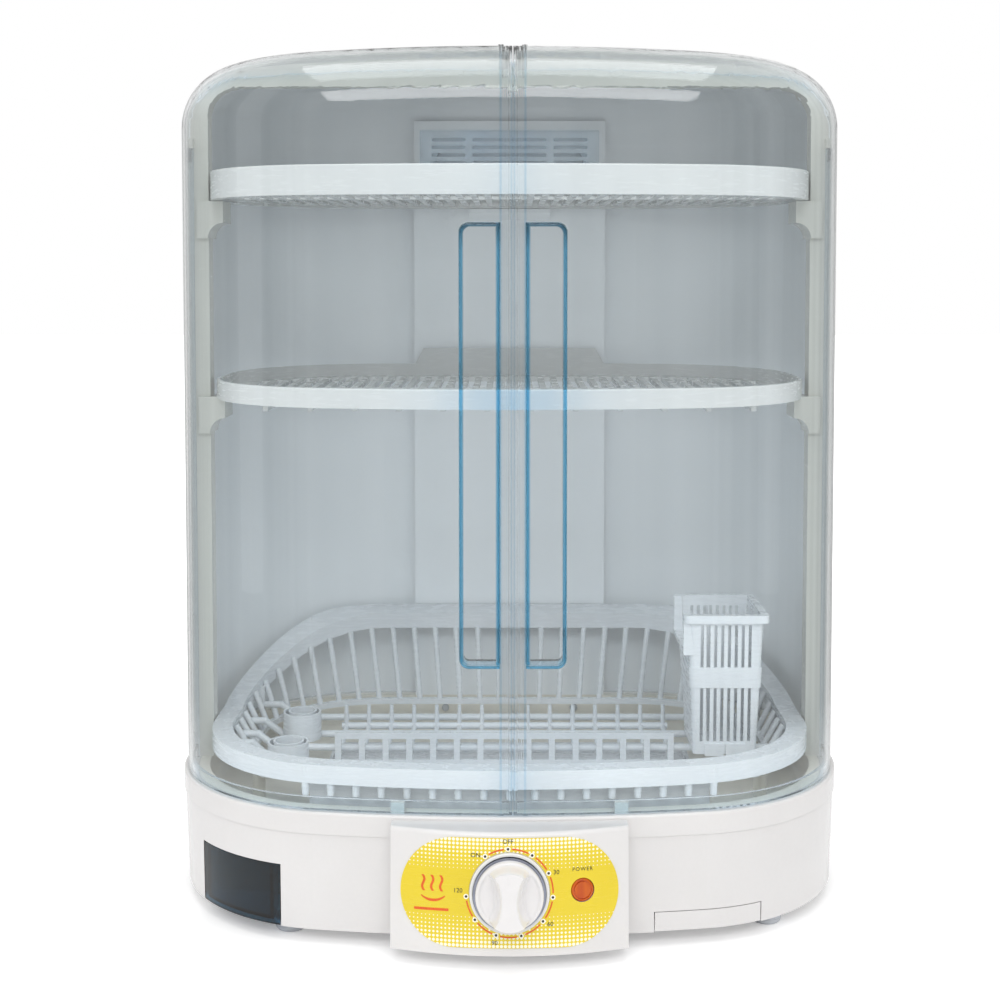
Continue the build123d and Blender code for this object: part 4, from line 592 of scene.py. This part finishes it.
def make_finishes(colours, sizes):
    """One material for each slot of the record, and a few for pieces made here."""
    c = colours
    FINISH.update(
        base_plastic=moulded("gloss_white_base", c.base, rough=0.2, rubbing=0.05, coat=0.25, glow=0.05),
        basin_plastic=moulded("warm_white_basin", c.basin, shade=0.9, rough=0.34, rubbing=0.12),
        tray_plastic=moulded("grey_white_tray", c.tray, shade=0.93, rough=0.3, rubbing=0.1),
        tier_plastic=moulded("white_tier", c.tier, shade=0.95, rough=0.26, rubbing=0.07, glow=0.06),
        rack_plastic=moulded("pale_grey_rack", c.rack, shade=0.93, rough=0.28, rubbing=0.08,
                             drift=16, glow=0.06),
        basket_plastic=moulded("pale_grey_basket", c.basket, shade=0.94, rough=0.3, drift=22,
                               glow=0.06),
        shell_plastic=moulded("grey_rear_shell", c.shell, shade=0.95, rough=0.3, rubbing=0.03, drift=5),
        # the front frame's colour holds painted shade
        frame_plastic=moulded("cream_front_frame_painted_shade", c.frame, shade=0.95, rough=0.24, rubbing=0.05),
        door_clear=clear("clear_blue_right_door", c.clear, darker(c.clear, 0.985), edge=tuple(c.edge)),
        door_clear_left=clear("clear_blue_left_door", c.clear, darker(c.clear, 0.985),
                              edge=tuple(c.edge), side=-1.0),
        drawer_smoke=clear("smoke_blue_drawer", c.drawer, darker(c.drawer, 0.8), rough=0.03, flow=30),
        louvre_clear=clear("clear_blue_louvre", paint(236, 244, 250), paint(222, 236, 248),
                           rough=0.12, flow=40, through=0.4),
        label_film=printed_label(colours, sizes),
        white_trim=moulded("white_bezel", paint(228, 228, 226), shade=0.96, rough=0.18, drift=40,
                           coat=0.3),
        bright_trim=metal("bright_plated_ring", paint(150, 154, 168), rough=0.08, lines=1600),
        knob_plastic=moulded("white_knob", paint(228, 226, 226), shade=0.96, rough=0.2, drift=45,
                             coat=0.3, glow=0.05),
        lens_amber=clear("amber_lens", paint(228, 112, 8), paint(206, 80, 4), rough=0.12, flow=200,
                         through=0.35),
        lamp=moulded("neon_lamp", paint(236, 150, 70), shade=0.7, rough=0.2, drift=120),
        foot_rubber=moulded("grey_foot_rubber", paint(206, 210, 216), shade=0.86, rough=0.62,
                            rubbing=0.2, drift=90, grain=2600, depth=0.02),
        black_plastic=moulded("black_plastic", paint(38, 39, 42), shade=0.7, rough=0.42,
                              rubbing=0.15, drift=40),
        steel=metal("zinc_plated_steel", paint(196, 198, 202), rough=0.3),
        heater_fins=metal("bare_aluminium_fins", paint(206, 206, 204), rough=0.36, lines=2400),
        heat_plastic=moulded("heat_proof_plastic", paint(226, 222, 210), shade=0.88, rough=0.42,
                             drift=30),
        filter_net=moulded("grey_net", paint(92, 98, 104), shade=0.8, rough=0.5, drift=60,
                           grain=3200, depth=0.015),
        grey_rubber=moulded("dark_grey_rubber", paint(74, 77, 82), shade=0.75, rough=0.66,
                            rubbing=0.2, drift=80, grain=2600, depth=0.02),
        drawer_edge=clear("dark_blue_drawer_edge", darker(c.drawer, 0.28), darker(c.drawer, 0.2),
                          rough=0.04),
        ink_black=moulded("black_ink", paint(40, 36, 30), shade=0.8, rough=0.34, drift=300,
                          depth=0.004),
        ink_orange=moulded("orange_ink", c.accent, shade=0.88, rough=0.3, drift=200, depth=0.004),
        ink_white=moulded("white_ink", paint(250, 247, 232), shade=0.96, rough=0.3, drift=200,
                          depth=0.004),
    )


# --------------------------------------------------------------------------
# Pieces
# --------------------------------------------------------------------------
class CABINET_OT_carried(bpy.types.Operator):
    """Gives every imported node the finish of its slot"""
    bl_idname = "cabinet.carried_finishes"
    bl_label = "Finish the packed pieces"

    def execute(self, context):
        make_finishes(context.scene.cabinet_colours, context.scene.cabinet_sizes)
        for part in frame["record"]["subparts"]:
            thing = NODES[part["node"]]
            for place in thing.material_slots:
                place.material = FINISH[part["material_slot"]]
        return {"FINISHED"}


class CABINET_OT_doors(bpy.types.Operator):
    """Makes the two clear doors, with blue in their thick edges and painted shade on their flanks, roof
    and pull tops
    """
    bl_idname = "cabinet.clear_doors"
    bl_label = "Clear doors"

    def execute(self, context):
        for side, finish in (("left", "door_clear_left"), ("right", "door_clear")):
            piece = merged_copy(side + "_door", side + "_clear_door")
            hand_over(piece, "door_" + side, "door_clear", FINISH[finish])
        return {"FINISHED"}


class CABINET_OT_drawer(bpy.types.Operator):
    """Makes the smoke-blue water drawer, dark where its walls are seen on edge"""
    bl_idname = "cabinet.water_drawer"
    bl_label = "Water drawer"

    def execute(self, context):
        piece = merged_copy("water_drawer", "smoke_water_drawer")
        inner_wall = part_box("water_drawer")[1][0] - 3 * MM
        hand_over(piece, "drawer", "drawer_smoke", FINISH["drawer_smoke"], FINISH["drawer_edge"])
        for face in piece.data.polygons:
            if abs(face.normal.x) > 0.7 and face.center.x > inner_wall:
                face.material_index = 1
        return {"FINISHED"}


def on_panel(right, up, out=0.0):
    """A place on the dial's plane, in metres."""
    return Vector((right, DIAL_Y, DIAL_Z)) + PANEL_UP * up + PANEL_OUT * out


def lay_on_label(thing, lift):
    """Presses flat print on to the bulging label and gives it the ink's thickness."""
    apply_all(thing,
              SHRINKWRAP=dict(target=NODES["panel_label"], wrap_method="PROJECT", use_project_z=True,
                              use_project_x=False, use_project_y=False, use_negative_direction=True,
                              use_positive_direction=True, offset=0.0))
    settle(thing)
    edit()
    bpy.ops.mesh.select_all(action="SELECT")
    bpy.ops.mesh.remove_doubles(threshold=1e-6)
    done()
    if sum(face.normal.dot(PANEL_OUT) * face.area for face in thing.data.polygons) < 0:
        edit()
        bpy.ops.mesh.flip_normals()
        done()
    apply_all(thing, SOLIDIFY=dict(thickness=lift, offset=1.0))
    return thing


def panel_turn(spin=0.0):
    """Turns a flat shape so that it faces out of the panel."""
    return (Matrix.Rotation(PANEL_LEAN, 3, "X").inverted() @ Matrix.Rotation(pi / 2, 3, "X")
            @ Matrix.Rotation(spin, 3, "Z")).to_euler()


def print_words(words, right, up, size, align="CENTER", spin=0.0, spacing=1.0):
    """Printed digits or words, as a flat mesh over the label."""
    thing = fresh(bpy.ops.object.text_add, location=on_panel(right, up, PRINT_LIFT),
                  rotation=panel_turn(spin))
    text = thing.data
    text.body, text.size, text.space_character = words, size, spacing
    text.align_x, text.align_y = align, "CENTER"
    text.resolution_u = 4
    bpy.ops.object.convert(target="MESH")
    return bpy.context.object


def print_disc(right, up, radius):
    return fresh(bpy.ops.mesh.primitive_circle_add, vertices=20, radius=radius, fill_type="NGON",
                 location=on_panel(right, up, PRINT_LIFT), rotation=panel_turn())


def print_bar(right, up, wide, high):
    thing = fresh(bpy.ops.mesh.primitive_plane_add, size=1, location=on_panel(right, up, PRINT_LIFT),
                  rotation=panel_turn())
    thing.scale = (wide, high, 1)
    edit()
    bpy.ops.mesh.subdivide(number_cuts=6)
    done()
    return thing


def print_arc(radius, width, start, end):
    """A curved dash round the dial, spun from a short edge."""
    middle = on_panel(0, 0, PRINT_LIFT)
    thing = fresh(bpy.ops.mesh.primitive_plane_add, size=1, location=middle, rotation=panel_turn())
    edit()
    bpy.ops.mesh.select_all(action="SELECT")
    bpy.ops.mesh.merge(type="CENTER")
    outset = on_panel(radius * cos(start), radius * sin(start), PRINT_LIFT) - middle
    bpy.ops.transform.translate(value=outset)
    along = (PANEL_UP * sin(start) + Vector((1, 0, 0)) * cos(start)) * width
    bpy.ops.transform.translate(value=-along / 2)
    extrude(*along)
    bpy.ops.mesh.select_all(action="SELECT")
    bpy.ops.mesh.spin(steps=10, angle=end - start, center=middle, axis=-PANEL_OUT)
    done()
    return thing


PRINT_LIFT = 2 * MM       # flat print is drawn this far in front of the label, then pressed on
SIGN_X = -45.0 * MM       # the warm-air sign, left of the dial
LONG_DASH = 31            # degrees between two dots from which the dash leaves a wider gap
DIAL_DOTS = (92.0, 58.7, 26.2, -6.2, -40.0, -74.4, -108.0, -142.4, -175.0, 124.0)
DIAL_WORDS = (            # words, dot's angle, right and up from it in millimetres, side
    ("OFF", 92.0, 0.0, 4.2, "CENTER"),
    ("30", 26.2, 2.6, 0.4, "LEFT"),
    ("60", -40.0, 2.4, -1.8, "LEFT"),
    ("90", -108.0, -0.8, -4.4, "CENTER"),
    ("120", -175.0, -2.0, 3.2, "RIGHT"),
    ("ON", 124.0, -2.6, 0.6, "RIGHT"),
)


class CABINET_OT_dial_print(bpy.types.Operator):
    """Prints the dial's dots, dashes and numbers and a plain warm-air sign on the label"""
    bl_idname = "cabinet.dial_print"
    bl_label = "Dial print"

    def execute(self, context):
        sizes = context.scene.cabinet_sizes
        ring, ink = sizes.dial_radius, sizes.ink
        halos, black, orange = [], [], []
        for angle in DIAL_DOTS:
            a = radians(angle)
            halos.append(print_disc(ring * cos(a), ring * sin(a), sizes.halo_radius))
            black.append(print_disc(ring * cos(a), ring * sin(a), sizes.dot_radius))
        for words, angle, right, up, side in DIAL_WORDS:
            a = radians(angle)
            black.append(print_words(words, ring * cos(a) + right * MM, ring * sin(a) + up * MM,
                                     sizes.digit_size, side))
        black.append(print_words("POWER", LAMP_X, 12.6 * MM, 3.0 * MM, spacing=1.25))
        steps = sorted(DIAL_DOTS, reverse=True)
        for first, last in zip(steps, steps[1:]):
            gap = 5.4 if first - last > LONG_DASH else 4.2
            orange.append(print_arc(ring, 0.85 * MM, radians(first - gap), radians(last + gap)))
        # three wisps of warm air over a bowl that stands on a bar
        for shift in (-5.2 * MM, 0.0, 5.2 * MM):
            orange.append(print_words("~", SIGN_X + shift, 4.6 * MM, 17 * MM, spin=pi / 2))
        orange.append(print_words("(", SIGN_X, -4.4 * MM, 15 * MM, spin=pi / 2))
        orange.append(print_bar(SIGN_X, -10.2 * MM, 20 * MM, 1.5 * MM))
        for things, lift, name, finish in ((halos, ink, "label_white_print", "ink_white"),
                                           (orange, 1.6 * ink, "label_orange_print", "ink_orange"),
                                           (black, 2.2 * ink, "label_black_print", "ink_black")):
            piece = joined([lay_on_label(thing, lift) for thing in things], name)
            hand_over(piece, "base", "label_film", FINISH[finish])
        return {"FINISHED"}


def soft_step(value, low, high):
    share = min(1.0, max(0.0, (value - low) / (high - low)))
    return share * share * (3 - 2 * share)


class CABINET_OT_knob(bpy.types.Operator):
    """Makes the knob: a round skirt with two thumb hollows that leave a waisted grip"""
    bl_idname = "cabinet.knob"
    bl_label = "Timer knob"

    rings: bpy.props.IntProperty(name="Rings", description="Rings across the knob's face", default=44,
                                 min=8, max=120)

    def execute(self, context):
        sizes = context.scene.cabinet_sizes
        radius, top, skirt = sizes.knob_radius, sizes.knob_height, sizes.skirt_height
        under, shoulder, inner = 1.0 * MM, 1.2 * MM, 0.93
        piece = fresh(bpy.ops.mesh.primitive_circle_add, vertices=96, radius=radius,
                      fill_type="NOTHING", location=(0, 0, 0))
        piece.name = piece.data.name = "sculpted_timer_knob"
        edit()
        bpy.ops.mesh.select_all(action="SELECT")
        # the skirt's wall, from under its rim up to the face
        bpy.ops.transform.translate(value=(0, 0, under))
        extrude(0, 0, skirt - under - shoulder)
        # its rounded shoulder
        last = 0.0
        for turn in (30, 60, 90):
            rise = shoulder * (sin(radians(turn)) - sin(radians(last)))
            size = ((radius - shoulder * (1 - cos(radians(turn))))
                    / (radius - shoulder * (1 - cos(radians(last)))))
            extrude(0, 0, rise)
            resize(size)
            last = turn
        # the face, ring inside ring
        face = radius - shoulder
        for step in range(1, self.rings):
            size = (self.rings - step) / (self.rings - step + 1)
            extrude(0, 0, 0)
            resize(size)
        bpy.ops.mesh.merge(type="CENTER")
        bpy.ops.mesh.select_all(action="SELECT")
        bpy.ops.mesh.normals_make_consistent(inside=False)
        done()
        # the grip rises between the two hollows
        waist, ends, reach = 5.3 * MM, 11.6 * MM, 17 * MM
        dip = ends - waist
        hollow = (reach * reach + dip * dip) / (2 * dip)
        for point in piece.data.vertices:
            x, y, z = point.co
            r = sqrt(x * x + y * y)
            if z < skirt - 1e-5 or r > face + 1e-5:
                continue
            from_hollow = sqrt((abs(x) - waist - hollow) ** 2 + y * y) - hollow
            side = soft_step(from_hollow, -3.4 * MM, 1.5 * MM)
            rim = 1 - soft_step(r, face - 2.0 * MM, face - 0.1 * MM)
            dish = 0.9 * MM * (1 - side) * soft_step(-from_hollow, 0, 9 * MM)
            crown = 0.7 * MM * (x / (12 * MM)) ** 2
            point.co.z = skirt - dish * rim + (top - skirt - crown) * side * rim
        # the underside is closed round a hub with a well for the shaft
        ceiling, well, hub = skirt - 3.4 * MM, 11.0 * MM, 1.9
        bore = 3.05 * MM / (radius * inner)
        pick(piece)
        edit()
        bpy.ops.mesh.select_all(action="DESELECT")
        done()
        for point in piece.data.vertices:
            point.select = point.co.z < 1.01 * under
        edit()
        bpy.ops.mesh.select_mode(type="VERT")
        extrude(0, 0, 0)
        resize(inner)
        extrude(0, 0, ceiling)
        extrude(0, 0, 0)
        resize(bore * hub)
        extrude(0, 0, -ceiling)
        extrude(0, 0, 0)
        resize(1 / hub)
        extrude(0, 0, well)
        bpy.ops.mesh.edge_face_add()
        bpy.ops.mesh.select_all(action="SELECT")
        bpy.ops.mesh.normals_make_consistent(inside=False)
        done()
        bpy.ops.object.shade_smooth_by_angle(angle=radians(38))
        piece.rotation_euler = panel_turn()
        piece.location = on_panel(0, 0)
        settle(piece)
        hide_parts("timer_knob")
        hand_over(piece, "knob", "knob_plastic", FINISH["knob_plastic"])
        # a fine line at the end of the grip points to the dial
        mark = fresh(bpy.ops.mesh.primitive_cube_add, size=1, location=(0, 0, 0))
        mark.scale = (0.9 * MM, 5.0 * MM, 0.5 * MM)
        settle(mark)
        apply_all(mark, BEVEL=dict(width=0.2 * MM, segments=2))
        mark.rotation_euler = panel_turn(radians(2))
        mark.location = on_panel(-0.5 * MM, 12.6 * MM, top - 0.05 * MM)
        settle(mark)
        mark.name = mark.data.name = "knob_pointer_line"
        hand_over(mark, "knob", "knob_plastic", FINISH["knob_plastic"])
        return {"FINISHED"}


class CABINET_OT_feet(bpy.types.Operator):
    """Makes the four ribbed rubber feet, one turned and the others copied"""
    bl_idname = "cabinet.rubber_feet"
    bl_label = "Rubber feet"

    def execute(self, context):
        profile = ((2.2, 8.5), (9.0, 8.5), (9.6, 8.1), (10.0, 7.4), (9.9, 6.2), (9.5, 5.9), (9.5, 5.3),
                   (9.85, 5.0), (9.75, 3.8), (9.3, 3.5), (9.3, 2.9), (9.6, 2.6), (9.4, 1.0), (8.6, 0.0),
                   (7.4, 0.0), (6.9, 0.45), (6.2, 0.45), (5.7, 0.0), (4.6, 0.0), (4.0, 0.5), (3.9,
                                                                                              4.25),
                   (2.2, 4.25))
        feet = []
        for x, y in FOOT_PLACES:
            if feet:
                thing = feet[0].copy()
                thing.data = feet[0].data.copy()
                bpy.context.scene.collection.objects.link(thing)
            else:
                thing = turned("foot", profile, 40)
            feet.append(thing)
            thing.location = (x, y, 0)
        for thing in feet:
            settle(thing)
        piece = joined(feet, "rubber_feet")
        pick(piece)
        bpy.ops.object.shade_smooth_by_angle(angle=radians(30))
        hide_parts("feet")
        hand_over(piece, "base", "foot_rubber", FINISH["foot_rubber"])
        return {"FINISHED"}


def turned(name, profile, steps):
    """A body turned about Z from a closed profile of radius and height in millimetres."""
    thing = fresh(bpy.ops.mesh.primitive_plane_add, size=1, location=(0, 0, 0))
    thing.name = name
    edit()
    bpy.ops.mesh.select_mode(type="VERT")
    bpy.ops.mesh.merge(type="CENTER")
    bpy.ops.transform.translate(value=(profile[0][0] * MM, 0, profile[0][1] * MM))
    for here, there in zip(profile, profile[1:]):
        step = Vector((there[0] - here[0], 0, there[1] - here[1])) * MM
        extrude(*step)
    bpy.ops.mesh.select_all(action="SELECT")
    bpy.ops.mesh.edge_face_add()
    bpy.ops.mesh.delete(type="ONLY_FACE")
    bpy.ops.mesh.select_all(action="SELECT")
    bpy.ops.mesh.spin(steps=steps, angle=2 * pi, center=(0, 0, 0), axis=(0, 0, 1))
    bpy.ops.mesh.select_all(action="SELECT")
    bpy.ops.mesh.remove_doubles(threshold=1e-6)
    bpy.ops.mesh.normals_make_consistent(inside=False)
    done()
    return thing


BASE_LOW, BASE_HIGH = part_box("base_housing")
FOOT_PLACES = ((-0.133, BASE_LOW[1] + 0.037), (0.158, BASE_LOW[1] + 0.048),
               (-0.140, BASE_HIGH[1] - 0.042), (0.140, BASE_HIGH[1] - 0.042))


# --------------------------------------------------------------------------
# Studio
# --------------------------------------------------------------------------
def soft_lamp(name, power, size, place, target):
    data = bpy.data.lights.new(name, "AREA")
    data.shape, data.size, data.size_y, data.energy = "RECTANGLE", size[0], size[1], power
    lamp = bpy.data.objects.new(name, data)
    bpy.context.scene.collection.objects.link(lamp)
    lamp.location = place
    lamp.rotation_euler = (Vector(target) - Vector(place)).to_track_quat("-Z", "Y").to_euler()
    return lamp


class CABINET_OT_studio(bpy.types.Operator):
    """Sets up the pale floor, the soft lamps, the white surroundings and the camera"""
    bl_idname = "cabinet.studio"
    bl_label = "Studio"

    def execute(self, context):
        scene, settings = context.scene, context.scene.cabinet_studio
        floor = fresh(bpy.ops.mesh.primitive_plane_add, size=12, location=(0, 2.0, -0.2 * MM))
        floor.name = floor.data.name = "studio_floor"
        settle(floor)
        material, tree, shader, output = blank_material("pale_floor")
        place = wire(tree, "TexCoord").outputs["Object"]
        pale = blend(tree, noise(tree, place, 3.0, 2.0), (0.93, 0.93, 0.93), (0.9, 0.9, 0.905))
        tree.links.new(pale, shader.inputs["Base Color"])
        shader.inputs["Roughness"].default_value = 0.85
        path = wire(tree, "LightPath").outputs
        bent = most(tree, path["Is Glossy Ray"], path["Is Transmission Ray"])
        seen = most(tree, path["Is Camera Ray"], times(tree, bent, 0.3))
        away = wire(tree, "VectorMath", {0: place}, operation="LENGTH").outputs["Value"]
        glow = wire(tree, "Emission", {"Color": WHITE,
                                       "Strength": spread(tree, away, 0.22, 0.9, 0.25, 1.0)})
        none = wire(tree, "Emission", {"Color": (0, 0, 0, 1), "Strength": 0.0})
        lift = wire(tree, "MixShader")
        tree.links.new(seen, lift.inputs[0])
        tree.links.new(none.outputs[0], lift.inputs[1])
        tree.links.new(glow.outputs[0], lift.inputs[2])
        both = wire(tree, "AddShader")
        tree.links.new(shader.outputs[0], both.inputs[0])
        tree.links.new(lift.outputs[0], both.inputs[1])
        # far off, mirrored and bent rays pass the floor and meet the room, so no horizon shows
        opened = times(tree, bent, spread(tree, away, 0.25, 0.6, 0.0, 1.0))
        open_floor = wire(tree, "MixShader", {0: opened})
        tree.links.new(both.outputs[0], open_floor.inputs[1])
        tree.links.new(wire(tree, "BsdfTransparent").outputs[0], open_floor.inputs[2])
        tree.links.new(open_floor.outputs[0], output.inputs["Surface"])
        floor.data.materials.append(material)

        world = bpy.data.worlds.new("white_room")
        world.use_nodes = True
        scene.world = world
        tree = world.node_tree
        tree.nodes.clear()
        path = wire(tree, "LightPath").outputs
        way = wire(tree, "TexCoord").outputs["Generated"]
        axes = wire(tree, "SeparateXYZ", {"Vector": way}).outputs
        aside = calc(tree, "ABSOLUTE", axes["X"])
        # mirrored, the room is a row of upright strips, darker at the sides and overhead
        turn = calc(tree, "ARCTAN2", axes["X"], axes["Y"])
        strips = wire(tree, "TexNoise", {"W": turn, "Scale": 7.0, "Detail": 5.0},
                      noise_dimensions="1D").outputs["Fac"]
        mirrored = times(tree, spread(tree, strips, 0.32, 0.68, 0.3, 1.15),
                         times(tree, spread(tree, aside, 0.3, 0.95, 1.0, 0.5),
                               spread(tree, axes["Z"], 0.35, 0.95, 1.0, 0.55)))
        room = times(tree, path["Is Glossy Ray"], mirrored)
        beyond = times(tree, path["Is Transmission Ray"], spread(tree, aside, 0.3, 0.8, 1.0, 0.5))
        seen = most(tree, path["Is Camera Ray"], most(tree, room, beyond))
        even = times(tree, path["Is Diffuse Ray"], settings.sky)
        light = wire(tree, "Background", {"Color": WHITE, "Strength": most(tree, seen, even)})
        tree.links.new(light.outputs[0], wire(tree, "OutputWorld").inputs["Surface"])

        key = soft_lamp("key_lamp", settings.key, (0.7, 2.4), (-1.9, -0.75, 0.9), (0, 0, 0.28))
        fill = soft_lamp("fill_lamp", settings.fill, (0.7, 2.4), (1.9, -0.7, 0.9), (0, 0, 0.28))
        key.visible_glossy = fill.visible_glossy = False
        soft_lamp("front_lamp", settings.front, (2.4, 0.9), (0, -2.3, 1.9), (0, 0, 0.25))
        soft_lamp("top_lamp", settings.top, (1.4, 1.0), (0, -0.3, 2.0), (0, 0, 0.3))

        data = bpy.data.cameras.new("photo_camera")
        data.lens, data.sensor_width = settings.lens, 36
        data.shift_x, data.shift_y = -0.0095, -0.15
        data.clip_start, data.clip_end = 0.05, 50
        camera = bpy.data.objects.new("photo_camera", data)
        scene.collection.objects.link(camera)
        camera.location = (0, FRONT - settings.distance, settings.eye)
        camera.rotation_euler = (pi / 2 - settings.pitch, 0, 0)
        scene.camera = camera
        scene.view_settings.view_transform = "Standard"
        return {"FINISHED"}


class CABINET_PT_sidebar(bpy.types.Panel):
    """Lists the cabinet's settings and steps"""
    bl_label = "Dish drying cabinet"
    bl_idname = "CABINET_PT_sidebar"
    bl_space_type = "VIEW_3D"
    bl_region_type = "UI"
    bl_category = "Dish Dryer"

    def draw(self, context):
        scene = context.scene
        for settings in (scene.cabinet_colours, scene.cabinet_sizes, scene.cabinet_studio):
            box = self.layout.box()
            for name in settings.__annotations__:
                box.prop(settings, name)
        for step in STEPS:
            self.layout.operator(step.bl_idname)


STEPS = (CABINET_OT_carried, CABINET_OT_doors, CABINET_OT_drawer, CABINET_OT_dial_print,
         CABINET_OT_knob,
         CABINET_OT_feet, CABINET_OT_studio)
SETTINGS = (("cabinet_colours", CabinetColours), ("cabinet_sizes", CabinetSizes),
            ("cabinet_studio", StudioSettings))


def register():
    for name, group in SETTINGS:
        bpy.utils.register_class(group)
        setattr(bpy.types.Scene, name, PointerProperty(type=group))
    for kind in (*STEPS, CABINET_PT_sidebar):
        bpy.utils.register_class(kind)


def unregister():
    for kind in reversed((*STEPS, CABINET_PT_sidebar)):
        bpy.utils.unregister_class(kind)
    for name, group in reversed(SETTINGS):
        delattr(bpy.types.Scene, name)
        bpy.utils.unregister_class(group)


def main():
    register()
    bpy.ops.cabinet.carried_finishes()
    bpy.ops.cabinet.clear_doors()
    bpy.ops.cabinet.water_drawer()
    bpy.ops.cabinet.dial_print()
    bpy.ops.cabinet.knob()
    bpy.ops.cabinet.rubber_feet()
    bpy.ops.cabinet.studio()


if __name__ == "__main__":
    main()
